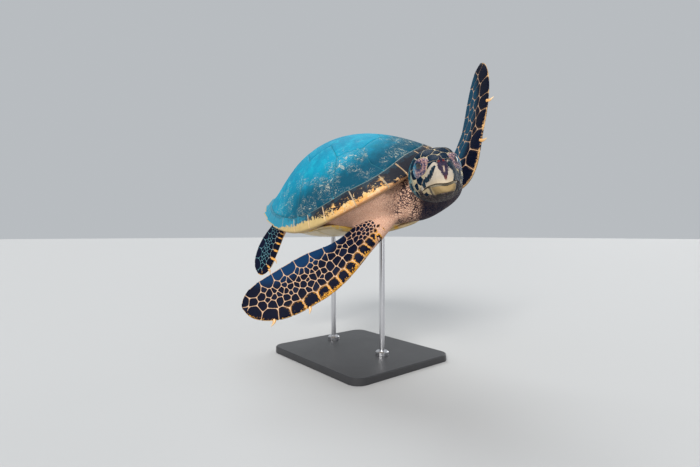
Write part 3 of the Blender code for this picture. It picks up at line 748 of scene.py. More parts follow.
def plastron_height(angle, part, y):
    """Height of the lower shell's underside at a part of its radius."""
    rise = BRIDGE_RISE * bridge_share(angle) * part ** 3 + 0.012 * part ** 4
    ceiling = rim_beside(y)[0][..., 2] - RIM_DROP - PLASTRON_THICK - 0.002
    return np.minimum(PLASTRON_Z + rise, ceiling)


def plastron_at(angle, part, lift):
    """Points of the lower shell at an angle and a part of its radius, raised by lift."""
    angle = np.asarray(angle, float)
    turn = np.radians(angle)
    radius = plastron_radius(angle) * part
    x = radius * np.sin(turn)
    y = PLASTRON_Y - radius * np.cos(turn)
    return np.stack([x, y, plastron_height(angle, part, y) + lift], -1)


def plastron_low(x, y):
    """Height of the lower shell's underside over the plan."""
    angle = np.degrees(np.arctan2(x, -(y - PLASTRON_Y)))
    part = np.hypot(x, y - PLASTRON_Y) / plastron_radius(angle)
    return plastron_height(angle, part, y)


def plastron_normal(x, y):
    """Downward normals of the lower shell."""
    return slope_normal(plastron_low, x, y, 0.002, 3.0, -1.0)


def plastron_base():
    """The lower shell under its scutes, closed."""
    angles = np.linspace(-180.0, 180.0, 241)[:-1]
    parts = (0.02, 0.2, 0.35, 0.5, 0.62, 0.72, 0.82, 0.89, 0.95, 0.985)
    rings = [plastron_at(angles, part, 0.0008) for part in parts]
    rings += [plastron_at(angles, 1.0, 0.003), plastron_at(angles, 0.998, 0.006)]
    rings += [plastron_at(angles, part, PLASTRON_THICK) for part in (0.985, 0.9, 0.82, 0.5, 0.02)]
    return ring_solid(rings)


def plastron_scutes(finish):
    """Six pairs of plates, the small front one, and the row along each bridge."""
    heap = Heap()
    seam = 0.0004
    cuts = (-0.312, -0.262, -0.172, -0.062, 0.050, 0.168, 0.272)
    bridge_cuts = (-0.158, -0.092, -0.020, 0.052, 0.112)
    bridge_start = 0.128

    def side_x(y):
        """Half width of the six pairs: the lobe's edge, or the bridge's inner line."""
        along = (y - PLASTRON_Y) / LOBE_HALF_LENGTH
        lobe = LOBE_HALF_WIDTH * math.sqrt(max(1.0 - along ** 2, 0.0))
        return min(lobe * 0.99, bridge_start)

    def bridge_x(y):
        """Half width out to the edge of the bridge."""
        x = 0.10
        while x < 0.26:
            angle = math.degrees(math.atan2(x, -(y - PLASTRON_Y)))
            if math.hypot(x, y - PLASTRON_Y) > float(plastron_radius(angle)) * 0.985:
                break
            x += 0.001
        return x

    plates = []
    for top, low in zip(cuts, cuts[1:]):
        side = [(side_x(y), y) for y in np.linspace(top, low, 9)]
        plates.append([(seam, top)] + side + [(seam, low)])
    plates[0] = [(0.012, -0.322)] + [(side_x(y), y) for y in np.linspace(-0.325, cuts[1], 7)]
    plates[0] += [(seam, cuts[1]), (seam, -0.300)]
    front = [(0.011, -0.335), (0.0, -0.301), (-0.011, -0.335), (0.0, -0.341)]
    bridges = []
    for low, high in zip(bridge_cuts, bridge_cuts[1:]):
        inner_side = [(side_x(y) + 0.0005, y) for y in np.linspace(low, high, 5)]
        bridges.append(inner_side + [(bridge_x(y), y) for y in np.linspace(high, low, 5)])

    def lay(outline, thick, step, gap):
        plan_plate(heap, outline, plastron_low, plastron_normal, thick, 0.0015, step, gap)

    for outline in plates:
        lay(outline, 0.0011, 0.007, 0.0006)
        lay(mirror_outline(outline), 0.0011, 0.007, 0.0006)
    lay(front, 0.0011, 0.004, 0.0004)
    for outline in bridges:
        lay(outline, 0.0012, 0.006, 0.0006)
        lay(mirror_outline(outline), 0.0012, 0.006, 0.0006)
    return heap.make("plastron_scutes", finish, "shell_lower")


# ---- limbs -----------------------------------------------------------------

def front_share(part):
    """Width of a front flipper along its length, as a share of its broadest."""
    near = 0.66 + 0.34 * smooth(0.0, 0.5, part)
    far = np.maximum(1.0 - np.clip((part - 0.5) / 0.5, 0.0, 1.0) ** 3.2, 0.0) ** 0.55
    return np.where(part < 0.5, near, far)


def hind_share(part):
    """The same of a hind flipper."""
    near = 0.70 + 0.30 * smooth(0.0, 0.6, part)
    far = np.maximum(1.0 - np.clip((part - 0.6) / 0.4, 0.0, 1.0) ** 2.4, 0.0) ** 0.5
    return np.where(part < 0.6, near, far)


class Limb:
    """A flipper: its surface is a lens section carried along a curved path."""

    def __init__(self, name, path, root, blade, share, chord, thick):
        self.name = name
        self.path = np.array(path)
        self.root = unit(root)
        self.blade = unit(blade)
        self.share = share
        self.chord = chord
        self.thick = thick
        self.front = "front" in name
        fine = spline(self.path, np.linspace(0.0, 1.0, 400))
        self.length = float(np.linalg.norm(np.diff(fine, axis=0), axis=1).sum())

    def frame(self, part):
        """Place on the path, and directions along it, to the leading edge and upward."""
        part = np.asarray(part, float)
        place = spline(self.path, part)
        axis = unit(spline(self.path, part + 0.02) - spline(self.path, part - 0.02))
        edge = mix(self.root, self.blade, smooth(0.0, 0.55, part)[..., None])
        edge = unit(edge - axis * np.sum(edge * axis, -1, keepdims=True))
        normal = np.cross(edge, axis)
        normal = unit(np.where(normal[..., 2:] < 0.0, -normal, normal))
        return place, axis, edge, normal

    def half(self, part):
        return self.chord * self.share(part) / 2.0

    def at(self, part, turn):
        """The surface; turn 0 is the leading edge and 0 to pi runs over the upper side."""
        part, turn = np.broadcast_arrays(np.asarray(part, float), np.asarray(turn, float))
        place, axis, edge, normal = self.frame(part)
        reach = np.cos(turn)
        thick = mix(self.thick[1], self.thick[0], (1.0 - np.clip(part, 0, 1)) ** 2.2)
        chord = 2.0 * self.half(part)
        thick = thick * np.clip(chord / self.chord * 1.6, 0.0, 1.0) ** 0.7
        depth = np.sin(turn) * (0.66 + 0.34 * reach) * thick / 2.0
        return place + edge * (reach * chord / 2.0)[..., None] + normal * depth[..., None]

    def normal_at(self, part, turn):
        e = 0.004
        du = self.at(np.clip(part + e, 0, 1), turn) - self.at(np.clip(part - e, 0, 1), turn)
        dv = self.at(part, turn + 0.03) - self.at(part, turn - 0.03)
        n = unit(np.cross(du, dv))
        core = self.frame(part)[0]
        wrong = np.sum(n * (self.at(part, turn) - core), -1) < 0.0
        return np.where(wrong[..., None], -n, n)

    def loft(self, stations, count, inner):
        """The whole limb as rings, begun inside the trunk, and each ring's part of the length."""
        parts = np.sin(0.5 * math.pi * np.linspace(0.0, 1.0, stations + 1)[:-1])
        grid = self.at(parts[:, None], full_turn(count)[None, :])
        place, axis = self.frame(0.0)[:2]
        back = []
        for k in np.linspace(1.0, 0.12, 12):
            back.append(place + (grid[0] - place) * mix(1.0, 0.8, k) - axis * inner * k)
        return np.concatenate([np.array(back), grid]), np.concatenate([np.zeros(12), parts])


def mirrored(path):
    return tuple((-x, y, z) for x, y, z in path)


FRONT_THICK = (0.066, 0.009)
HIND_THICK = (0.050, 0.008)
TURNED = (-EDGE_HIND[0], EDGE_HIND[1], EDGE_HIND[2])
LIMBS = (
    Limb("flipper_front_left", PATH_LEFT, EDGE_ROOT, EDGE_LEFT, front_share, 0.144, FRONT_THICK),
    Limb("flipper_front_right", PATH_RIGHT, EDGE_ROOT, EDGE_RIGHT, front_share, 0.144, FRONT_THICK),
    Limb("flipper_hind_left", PATH_HIND, EDGE_HIND, EDGE_HIND, hind_share, 0.094, HIND_THICK),
    Limb("flipper_hind_right", mirrored(PATH_HIND), TURNED, TURNED, hind_share, 0.094, HIND_THICK),
)


# ---- head and neck ---------------------------------------------------------

REAR = -unit(HEAD_FORWARD)
UPPER = unit(HEAD_UP - REAR * np.dot(HEAD_UP, REAR))
LEFT = np.cross(REAR, UPPER)
HEAD_TURN = np.stack([LEFT, REAR, UPPER])  # rows: the head's axes in body axes


def head_to_body(p):
    return HEAD_CENTRE + np.asarray(p, float) @ HEAD_TURN


def body_to_head(p):
    return (np.asarray(p, float) - HEAD_CENTRE) @ HEAD_TURN.T


def mirrored_x(p):
    """Points with those of the right side carried to the left."""
    return np.stack([np.abs(p[..., 0]), p[..., 1], p[..., 2]], -1)


def bulge(p, centre, radius, amount):
    """How far points near a centre stand out; centre is mirrored to both sides."""
    d = np.linalg.norm(mirrored_x(p) - np.array(centre), axis=-1) / radius
    return amount * np.exp(-d * d * 2.0)


def head_plain(part, turn):
    """The head's surface without its brow, cheek and snout forms, in head axes."""
    part, turn = np.broadcast_arrays(np.asarray(part, float), np.asarray(turn, float))
    row = spline(HEAD_ROWS, part)
    middle = (row[..., 2] + row[..., 3]) / 2.0
    x = row[..., 1] * bend(np.cos(turn), 2.0 / ROUND)
    z = middle + (row[..., 2] - middle) * bend(np.sin(turn), 2.0 / ROUND)
    return np.stack([x, row[..., 0], z], -1)


def sculpt(p, n):
    """Brow, cheek, jaw and snout forms of the head, in head axes."""
    out = sum(bulge(p, *form) for form in HEAD_FORMS)
    return p + n * out[..., None]


def head_at(part, turn):
    """The head's surface, in head axes; turn pi / 2 is its top."""
    p = head_plain(part, turn)
    e = 0.006
    du = head_plain(np.clip(part + e, 0, 1), turn) - head_plain(np.clip(part - e, 0, 1), turn)
    dv = head_plain(part, turn + 0.02) - head_plain(part, turn - 0.02)
    n = unit(np.cross(du, dv))
    wrong = np.sum(n * (p - np.array((0.0, 0.0, -0.005))) * np.array((1.0, 0.2, 1.0)), -1) < 0.0
    return sculpt(p, np.where(wrong[..., None], -n, n))


def neck_at(part, turn):
    """The neck from inside the trunk to the back of the head, in body axes."""
    part, turn = np.broadcast_arrays(np.asarray(part, float), np.asarray(turn, float))
    back = head_to_body((0.0, HEAD_BACK_Y, 0.0))
    path = [(0.0, -0.300, -0.050), (0.020, -0.345, -0.056), (0.026, -0.396, -0.044), back]
    share = smooth(0.34, 1.0, part)[..., None]
    across = unit(mix(np.array((1.0, 0.0, 0.0)), LEFT, share))
    lift = unit(mix(np.array((0.0, 0.0, 1.0)), UPPER, share))
    wide = mix(0.106, 0.049, smooth(0.30, 1.0, part))
    high = mix(0.066, 0.042, smooth(0.4, 1.0, part))
    middle = -0.002 * smooth(0.34, 1.0, part)
    side = bend(np.cos(turn), 2.0 / ROUND) * wide
    rise = middle + bend(np.sin(turn), 2.0 / ROUND) * high
    return spline(path, part) + across * side[..., None] + lift * rise[..., None]


def head_grid():
    """Neck and head as one grid of rings, with hollows where the eyes sit."""
    turns = full_turn(168)[None, :]
    neck = neck_at(np.linspace(0.0, 0.985, 44)[:, None], turns)
    parts = 1.0 - (1.0 - np.linspace(0.0, 1.0, 120)) ** 1.12
    head = head_at(parts[:, None], turns)
    distance = np.linalg.norm(mirrored_x(head) - EYE_CENTRE, axis=-1)
    hollow = 1.0 - smooth(0.017, 0.0235, distance)
    inward = EYE_CENTRE + np.array((-0.012, 0.006, -0.004))
    inward = np.where(head[..., :1] < 0.0, inward * np.array((-1.0, 1.0, 1.0)), inward)
    head = mix(head, inward, (hollow * 0.62)[..., None])
    return np.concatenate([neck, head_to_body(head)])


def trunk_grid():
    """The flesh between the two shells, in rings from inside the dome to inside the plastron."""
    angles = np.linspace(-180.0, 180.0, 201)[:-1]
    aside = np.abs(angles)
    edge = rim(angles)
    side = bridge_share(angles)
    rings = [dome_ring(edge, part, SHELL_THICK + 0.006) for part in (0.3, 0.55, 0.72)]
    deep = edge - in_plan(edge) * 0.050
    nape = 1.0 - smooth(10.0, 26.0, aside)
    rump = smooth(135.0, 165.0, aside)
    hold = smooth(52.0, 70.0, aside) * (1.0 - smooth(112.0, 130.0, aside))
    inward = np.maximum(mix(0.006, 0.050, hold), np.maximum(0.030 * nape, 0.042 * rump))
    top = edge - in_plan(edge) * inward[:, None]
    for ring in (deep, top):
        ring[:, 2] = edge[:, 2] - RIM_DROP + 0.003
    rings += [deep, mix(deep, top, 0.5), top]
    lift = 0.5 * PLASTRON_THICK
    foot = plastron_at(angles, mix(1.005, 0.93, smooth(0.5, 1.0, side)), lift + 0.004)
    swell = 0.022 * (1.0 - side) * (1.0 - 0.45 * nape) * (1.0 - rump)
    for part in np.linspace(0.08, 1.0, 14):
        p = mix(top, foot, part)
        round_out = math.sin(math.pi * part ** 1.25) ** 0.85
        rings.append(p + in_plan(p) * (swell * round_out)[:, None])
    for part in (0.93, 0.6, 0.3):
        rings.append(plastron_at(angles, part * mix(1.0, 0.8, side), lift))
    return np.array(rings)


def tail_grid():
    """The tail in rings, begun inside the trunk."""
    parts = np.linspace(0.0, 0.94, 20)
    place = spline(TAIL_PATH, parts)
    axis = unit(spline(TAIL_PATH, parts + 0.02) - spline(TAIL_PATH, parts - 0.02))
    across = np.array((1.0, 0.0, 0.0))
    lift = np.cross(across, axis)
    turns = full_turn(40)
    radius = 0.022 * (1.0 - 0.75 * parts)
    grid = (place[:, None] + across * (1.15 * radius[:, None] * np.cos(turns))[..., None]
            + lift[:, None] * (radius[:, None] * np.sin(turns))[..., None])
    back = [grid[0] - np.array((0.0, k, 0.0)) for k in (0.060, 0.045, 0.030, 0.015)]
    return np.concatenate([np.array(back), grid])


def closed_loft(name, grid, tip=None):
    """A solid mesh from a grid of rings, closed flat or, at its end, to a tip."""
    points, faces = ring_solid(grid)
    if tip is not None:
        rows, columns = grid.shape[:2]
        faces = faces[:-1] + fan_faces((rows - 1) * columns, columns, len(points))
        points = np.vstack([points, tip])
    mesh = make_mesh(name, points, faces)
    rework(mesh, split=True, turn=True)
    return mesh


def union(meshes):
    """The union of closed meshes, as one mesh."""
    result = meshes[0]
    for other in meshes[1:]:
        base = show("work", result)
        helper = show("helper", other)
        step = base.modifiers.new("Boolean", "BOOLEAN")
        step.operation = "UNION"
        step.solver = "EXACT"
        step.object = helper
        seen = bpy.context.evaluated_depsgraph_get()
        result = bpy.data.meshes.new_from_object(base.evaluated_get(seen))
        bpy.data.objects.remove(base, do_unlink=True)
        bpy.data.objects.remove(helper, do_unlink=True)
    return result


def relax(points, edges, weight, times):
    """Moves each point towards the mean of its neighbours, by its weight."""
    count = np.bincount(edges.ravel(), minlength=len(points)).astype(float)[:, None]
    for _ in range(times):
        total = np.zeros_like(points)
        for axis in range(3):
            total[:, axis] = np.bincount(edges[:, 0], points[edges[:, 1], axis], len(points))
            total[:, axis] += np.bincount(edges[:, 1], points[edges[:, 0], axis], len(points))
        points = points + (total / np.maximum(count, 1.0) - points) * weight[:, None]
    return points


def nearest(known, points):
    """For each point, the number of the nearest known point and its distance."""
    tree = KDTree(max(len(known), 1))
    for k, p in enumerate(known):
        tree.insert(p, k)
    tree.balance()
    hits = [tree.find(p) for p in points]
    return np.array([hit[1] for hit in hits]), np.array([hit[2] for hit in hits])


def make_skin():
    """One skin over trunk, neck, head, tail and the four flippers, blended where they meet.

    With each point go the number of its part and how far along that part it lies: 0 is the
    trunk, 1 the neck and head, 2 to 5 the LIMBS and 6 the tail.
    """
    parts = [(trunk_grid(), None, None), (head_grid(), head_to_body(SNOUT_TIP), None)]
    for limb in LIMBS:
        grid, tags = limb.loft(*((120, 88, 0.085) if limb.front else (80, 64, 0.060)))
        parts.append((grid, limb.at(1.0, 0.0), tags))
    parts.append((tail_grid(), spline(TAIL_PATH, 0.955), None))
    known, label, share = [], [], []
    for number, (grid, _, tags) in enumerate(parts):
        rows, columns = grid.shape[:2]
        known.append(grid.reshape(-1, 3))
        label.append(np.full(rows * columns, number))
        share.append(np.repeat(np.linspace(0, 1, rows) if tags is None else tags, columns))
    mesh = union([closed_loft("part", grid, tip) for grid, tip, _ in parts])
    rework(mesh, merge=2e-5, split=True)
    points = points_of(mesh)
    index, gap = nearest(np.concatenate(known), points)
    reach = nearest(points[gap > 2e-5], points)[1]
    flat = np.zeros(len(mesh.edges) * 2, np.int32)
    mesh.edges.foreach_get("vertices", flat)
    weight = (1.0 - smooth(0.010, 0.034, reach)) * 0.6
    set_points(mesh, relax(points, flat.reshape(-1, 2), weight, 60))
    return mesh, np.concatenate(label)[index], np.concatenate(share)[index]


def skin_layers(points, label, share):
    """Where the skin is neck, limb or head, how it folds and where shade is painted on the throat;
    label and share as in make_skin.
    """
    head = body_to_head(points)
    left, behind, above = head.T
    is_head = (label == 1) & (behind < 0.095)
    on_limb = (label >= 2) & (label <= 5)
    limb = np.where(on_limb, smooth(0.06, 0.22, share), 0.0)
    low = smooth(-0.030, -0.060, above)
    crown = np.where(is_head, smooth(0.092, 0.046, behind), 0.0) * (1.0 - 0.85 * low)
    near = 1.0 - smooth(0.07, 0.15, np.linalg.norm(points - NECK_MIDDLE, axis=1))
    near = np.maximum(near, np.where(label == 1, smooth(0.050, 0.090, behind), 0.0))
    neck = near * (1.0 - limb) * (1.0 - crown)
    rear = smooth(0.24, 0.34, points[:, 1]) * (1.0 - limb)
    hind = ((label == 4) | (label == 5)).astype(float)
    # Painted shade: the throat, the left side of the neck and the underside of the chin are darkened
    # where shadow falls.
    painted_throat_shade = smooth(-0.065, 0.010, left - 0.25 * (above + 0.07)) * (1.0 - smooth(0.11, 0.17, left))
    painted_throat_shade = painted_throat_shade * smooth(-0.010, -0.045, above) * smooth(0.25, 0.19, behind)
    painted_chin_shade = np.where(is_head, low * smooth(0.092, 0.060, behind), 0.0)
    painted_throat_shade = np.maximum(painted_throat_shade * (1.0 - crown) * (1.0 - limb), smooth(0.1, 0.6, painted_chin_shade))
    lead = np.full(len(points), 0.2)
    for number, one in enumerate(LIMBS, start=2):
        pick = np.nonzero(label == number)[0]
        lead[pick] = np.linalg.norm(points[pick] - one.at(share[pick], 0.0 * share[pick]), axis=1)
    nose = np.linalg.norm((head - NOSE) * np.array((0.82, 1.0, 1.0)), axis=1)
    nostril = np.linalg.norm(mirrored_x(head) - NOSTRIL, axis=1)
    lift = points[:, 2] - plastron_low(points[:, 0], points[:, 1]) - PLASTRON_THICK
    way = np.degrees(np.arctan2(np.abs(points[:, 0]), -(points[:, 1] - PLASTRON_Y)))
    hem = smooth(0.020, 0.006, lift) * (1.0 - limb) * (1.0 - smooth(0.10, 0.20, points[:, 1]))
    hem = hem * smooth(5.0, 14.0, way) * (1.0 - smooth(16.0, 30.0, way)) * (label == 0)
    return dict(head=head, limb=limb, crown=crown, neck=neck, painted_throat_shade=painted_throat_shade, lead=lead,
                fold=head * np.array((105.0, 400.0, 105.0)), nose=nose, nostril=nostril, hem=hem,
                rear=rear, hind=hind)


# ---- scales ----------------------------------------------------------------

def clip_polygon(poly, normal, limit):
    """The part of a polygon where normal . p is at most limit."""
    made = []
    values = [p[0] * normal[0] + p[1] * normal[1] - limit for p in poly]
    for k, p in enumerate(poly):
        m = (k + 1) % len(poly)
        a, b = values[k], values[m]
        if a <= 0.0:
            made.append(p)
        if (a < 0.0 < b) or (b < 0.0 < a):
            t = a / (a - b)
            q = poly[m]
            made.append((p[0] + (q[0] - p[0]) * t, p[1] + (q[1] - p[1]) * t))
    return made


def power_cell(index, seeds, radii, reach=0.032):
    """The polygon nearer to one seed than to the others, allowing for their sizes."""
    offset = seeds - seeds[index]
    distance = np.hypot(offset[:, 0], offset[:, 1])
    poly = [(-reach, -reach), (reach, -reach), (reach, reach), (-reach, reach)]
    for other in np.argsort(distance - radii)[:26]:
        d = distance[other]
        if other == index or d < 1e-6:
            continue
        limit = (d * d + radii[index] ** 2 - radii[other] ** 2) / (2.0 * d)
        poly = clip_polygon(poly, offset[other] / d, limit)
        if len(poly) < 3:
            return None
    return np.array(poly)


def inset_convex(poly, amount):
    """A convex polygon with every side moved inward."""
    after = np.roll(poly, -1, 0)
    turn = 1.0 if (poly[:, 0] * after[:, 1] - poly[:, 1] * after[:, 0]).sum() > 0.0 else -1.0
    made = [tuple(p) for p in poly]
    for a, b in zip(poly, after):
        d = b - a
        size = np.hypot(*d)
        if size < 1e-6:
            continue
        n = np.array((d[1], -d[0])) / size * turn
        made = clip_polygon(made, n, float(np.dot(n, a)) - amount)
        if len(made) < 3:
            return None
    return np.array(made)


def even_ring(ring, step):
    """A closed outline resampled at an even step along its whole length."""
    sides = np.linalg.norm(np.roll(ring, -1, 0) - ring, axis=1)
    total = sides.sum()
    if total < 1e-5:
        return None
    count = max(int(total / step), 9)
    along = np.concatenate([[0.0], np.cumsum(sides)])
    closed = np.vstack([ring, ring[:1]])
    places = np.linspace(0.0, total, count + 1)[:-1]
    return np.stack([np.interp(places, along, closed[:, k]) for k in (0, 1)], -1)


def scale_plate(heap, ring, surface, high, spacing, tag, uv_of, layers_of):
    """One scale: a rounded plate from an outline in flat coordinates carried onto the skin."""
    middle = ring.mean(0)
    offset = ring - middle
    radius = ring_size(ring)
    if radius < SMALLEST_SCALE:
        return
    count = max(int(radius / spacing), 1)
    insets = [(0.0, -SCALE_SINK), (0.00018, 0.62 * high), (0.0008, high)]
    rings = [(1.0 - min(d / radius, 0.5), up) for d, up in insets]
    first = rings[-1][0]
    for k in range(1, count):
        share = first * (1.0 - k / count)
        rings.append((share, high * (1.0 + 0.10 * math.sin(math.pi * k / count))))
    flat = np.concatenate([middle + offset * share for share, _ in rings] + [middle[None, :]])
    shares, ups = np.array(rings).T
    ups = np.append(np.repeat(ups, len(ring)), ups[-1])
    far = np.append(np.repeat((1.0 - shares) * radius, len(ring)), radius)
    base, n = surface(flat)
    tip = len(flat) - 1
    faces = grid_faces(len(rings), len(ring), True) + fan_faces(tip - len(ring), len(ring), tip)
    heap.add(base + n * ups[:, None], faces, uv=uv_of(flat), rim=far, tag=tag, **layers_of(flat))


def pack_circles(fixed, inside_of, size_at, low, high):
    """Fills a region with circles of the wanted sizes round the fixed ones."""
    seeds = [np.array(p[:2]) for p in fixed]
    radii = [p[2] for p in fixed]
    spots = rng.uniform(low, high, (LIMB_TRIES, 2))
    sizes = size_at(spots) * rng.uniform(0.78, 1.22, LIMB_TRIES)
    sizes *= np.repeat(np.linspace(1.15, 0.72, 5), LIMB_TRIES // 5 + 1)[:LIMB_TRIES]
    allowed = inside_of(spots, sizes)
    for spot, size, ok in zip(spots, sizes, allowed):
        if not ok:
            continue
        gaps = np.hypot(*(np.array(seeds) - spot).T) - np.array(radii) * FIT
        if gaps.min() > size * FIT:
            seeds.append(spot)
            radii.append(size)
    return np.array(seeds), np.array(radii)


# Rows of large scales along each flipper's edges: their relative lengths, the first and last
# part of the flipper's length, the side (1 is the leading edge) and the greatest depth.
FRONT_TRAIL = ((11, 14, 22, 34, 38, 36, 36, 26, 34, 40), 0.06, 0.97, -1, 0.026)
BROAD_LEAD = ((12, 18, 24, 26, 22, 30, 34, 26, 30, 38), 0.02, 0.985, 1, 0.044)
FINE_LEAD = ((10, 13, 16, 17, 19, 20, 22, 24, 34, 24, 20, 26, 34), 0.02, 0.985, 1, 0.027)
HIND_LEAD = ((9, 11, 13, 15, 16, 17, 18), 0.08, 0.97, 1, 0.020)
HIND_TRAIL = ((9, 12, 15, 17, 18, 20), 0.10, 0.96, -1, 0.018)
EDGE_SCALES = {
    "flipper_front_left": (BROAD_LEAD, FRONT_TRAIL),
    "flipper_front_right": (FINE_LEAD, FRONT_TRAIL),
    "flipper_hind_left": (HIND_LEAD, HIND_TRAIL),
    "flipper_hind_right": (HIND_LEAD, HIND_TRAIL),
}
SCALE_SIZES = {            # radius of the scales between the edge rows
    "flipper_front_left": 0.0160,
    "flipper_front_right": 0.0115,
    "flipper_hind_left": 0.0075,
    "flipper_hind_right": 0.0075,
}
SCALE_SINK = 0.0006        # how far a scale's edge lies under the skin
SMALLEST_SCALE = 0.0010
LIMB_TRIES = 5200          # random spots tried for each side of a flipper
HEAD_TRIES = 6000          # and for the head
FIT = 0.93                 # share of their radii at which packed circles may meet
ROOT_PART = 0.34           # up to this part of a flipper its scales lie on the blended skin


def edge_row(limb, sizes, start, stop, side, depth):
    """Seeds of a row of large scales along one edge, from start to stop of the length."""
    made = []
    at = start
    for size in sizes:
        span = (stop - start) * size / sum(sizes)
        part = at + span / 2.0
        at += span
        half = float(limb.half(np.array(part)))
        radius = min(0.5 * span * limb.length, 0.021) * 1.02
        made.append((part * limb.length, side * (half - min(depth, half * 0.9) * 0.5), radius))
    return made


def limb_scales(limb, finish, bvh):
    """All the scales of one flipper, upper and lower side, as one piece."""
    heap = Heap()
    length = limb.length
    first, last = -0.045, 0.985       # parts of the length where scales begin and end
    half_band = 0.075
    axis = limb.frame(np.array(0.0))[1]
    fixed = [seed for row in EDGE_SCALES[limb.name] for seed in edge_row(limb, *row)]

    def size_at(spots):
        part = spots[:, 0] / length
        half = limb.half(part)
        centre = np.exp(-((spots[:, 1] + 0.10 * half) / (0.40 * half + 1e-4)) ** 2)
        small = centre * smooth(0.22, 0.42, part) * (1.0 - smooth(0.70, 0.86, part))
        small = small * (0.0 if limb.name == "flipper_front_left" else 1.0)
        base = mix(0.42, 1.0, smooth(0.04, 0.26, part))
        size = SCALE_SIZES[limb.name] * base * (1.0 - 0.42 * small)
        return size * mix(1.0, 1.15, smooth(0.75, 0.95, part))

    def inside_of(spots, sizes):
        part = spots[:, 0] / length
        half = limb.half(np.clip(part, 0, 1))
        return (np.abs(spots[:, 1]) < half - sizes * 0.5) & (part > first) & (part < last)

    for up in (1.0, -1.0):
        low, high = (first * length, -half_band), (length, half_band)
        seeds, radii = pack_circles(fixed, inside_of, size_at, low, high)
        wrap = 0.0035 if limb.front else 0.003
        wrap = wrap if up > 0.0 else -wrap - 0.0012

        def place_at(flat):
            """Part of the length and turn at flat places, which may wrap over the edges."""
            part = np.clip(flat[:, 0] / length, 0.0, 1.0)
            reach = flat[:, 1] / np.maximum(limb.half(part), 2e-4)
            over = np.abs(reach) > 1.0
            reach = np.where(over, np.sign(reach) * np.maximum(2.0 - np.abs(reach), 0.0), reach)
            return part, np.arccos(np.clip(reach, -1.0, 1.0)) * np.where(over, -up, up)

        def surface(flat):
            """Places and normals; near the root they are those of the blended skin."""
            part, turn = place_at(flat)
            n = limb.normal_at(np.minimum(part, last), turn)
            p = limb.at(part, turn) + np.minimum(flat[:, :1], 0.0) * axis
            for k in np.nonzero(part < ROOT_PART)[0]:
                p[k], n[k] = bvh.find_nearest(Vector(p[k]))[:2]
            return p, n

        def uv_of(flat):
            u = (flat[:, 0] / length + 0.06) * 0.90 + 0.02
            v = (flat[:, 1] / 0.16 + 0.5) * 0.46 + (0.02 if up > 0.0 else 0.52)
            return np.stack([u, v], -1)

        def layers_of(flat):
            part, turn = place_at(flat)
            lead = np.linalg.norm(limb.at(part, turn) - limb.at(part, 0.0 * turn), axis=1)
            return dict(lead=lead, part=flat[:, 0] / length, left=float("left" in limb.name),
                        hind=float(not limb.front))

        for index in range(len(seeds)):
            cell = power_cell(index, seeds, radii)
            if cell is None:
                continue
            part = seeds[index][0] / length
            gap = mix(0.0007, 0.0012, float(smooth(0.05, 0.35, part))) * (1.0 if limb.front else 0.8)
            cell = inset_convex(cell + seeds[index], gap / 2.0)
            fade = float(smooth(0.015, first, part))
            if cell is None or rng.uniform() < 0.65 * fade:
                continue
            cell = mix(cell, cell.mean(0), 0.30 * fade)
            ring = even_ring(round_corners(cell, 0.86), 0.0028)
            if ring is None:
                continue
            at = np.clip(ring[:, 0], first * length, length)
            half = limb.half(at / length) + wrap
            ring = np.stack([at, np.clip(ring[:, 1], -half, half)], -1)
            ring = ring[np.linalg.norm(np.roll(ring, -1, 0) - ring, axis=1) > 0.0004]
            if len(ring) < 6 or ring_size(ring) < 0.0019:
                continue
            high = mix(0.0005, 0.0010, float(smooth(0.05, 0.3, part)))
            scale_plate(heap, ring, surface, high, 0.0034, float(rng.uniform()), uv_of, layers_of)
    heap.make(limb.name + "_scales", finish, "skin_scaled")


def tangent(n):
    """Two directions across each normal."""
    n = np.asarray(n, float)
    other = np.array((0.0, 0.0, 1.0)) if abs(n[2]) < 0.9 else np.array((0.0, 1.0, 0.0))
    a = unit(np.cross(other, n))
    return a, np.cross(n, a)


def on_head(bvh, part, turn):
    """A point and normal on the finished skin of the head."""
    p = head_to_body(head_at(np.array(part), np.array(turn)))
    hit = bvh.find_nearest(Vector(p))
    return np.array(hit[0]), np.array(hit[1])


def head_part(y):
    """The place along HEAD_ROWS where the head's section lies at y."""
    parts = np.linspace(0.0, 1.0, 200)
    return float(np.interp(-y, -spline(HEAD_ROWS, parts)[:, 0], parts))


# Scales of the top and side of the head: y, height angle in degrees (90 is the top), radius.
HEAD_SCALES_MIDDLE = ((-0.0605, 0.0050), (-0.025, 0.0125), (0.020, 0.0110), (0.050, 0.0110))
HEAD_SCALES_SIDE = (
    (-0.0735, 66, 0.0125), (-0.080, 47, 0.0060), (-0.047, 72, 0.0138), (-0.030, 56, 0.0105),
    (-0.004, 68, 0.0125), (0.004, 46, 0.0115), (0.034, 66, 0.0130), (0.036, 44, 0.0110),
    (-0.024, 29, 0.0125), (-0.034, 8, 0.0125), (-0.053, -4, 0.0105), (-0.035, -15, 0.0075),
    (-0.052, -38, 0.0068), (0.004, 27, 0.0110), (-0.004, 6, 0.0110), (-0.010, -13, 0.0100),
    (-0.022, -31, 0.0080), (0.026, 24, 0.0110), (0.020, 4, 0.0110), (0.014, -16, 0.0105),
    (0.002, -35, 0.0095), (0.050, 28, 0.0100), (0.046, 8, 0.0100), (0.040, -13, 0.0100),
    (0.028, -36, 0.0100), (0.058, 56, 0.0100),
)
CHEEK_MARK = ((0.020, -0.097, 0.006), (0.027, -0.092, -0.010), (0.041, -0.064, -0.020),
              (0.040, -0.062, -0.029))


def cheek_reach(local):
    """Distance from the line of the dark cheek mark, which is widened on the left side by painted
    shade.
    """
    # Painted shade: the mark is widened on the left side of the head, which lies in shade.
    painted_shade_widening = 0.0055 * smooth(0.0, 0.012, local[:, 0])
    q = mirrored_x(local)
    best = np.full(len(q), 1.0)
    for first, second in zip(CHEEK_MARK, CHEEK_MARK[1:]):
        a, d = np.array(first), np.array(second) - np.array(first)
        t = np.clip((q - a) @ d / (d @ d), 0.0, 1.0)
        best = np.minimum(best, np.linalg.norm(q - a - t[:, None] * d, axis=1))
    return best - painted_shade_widening


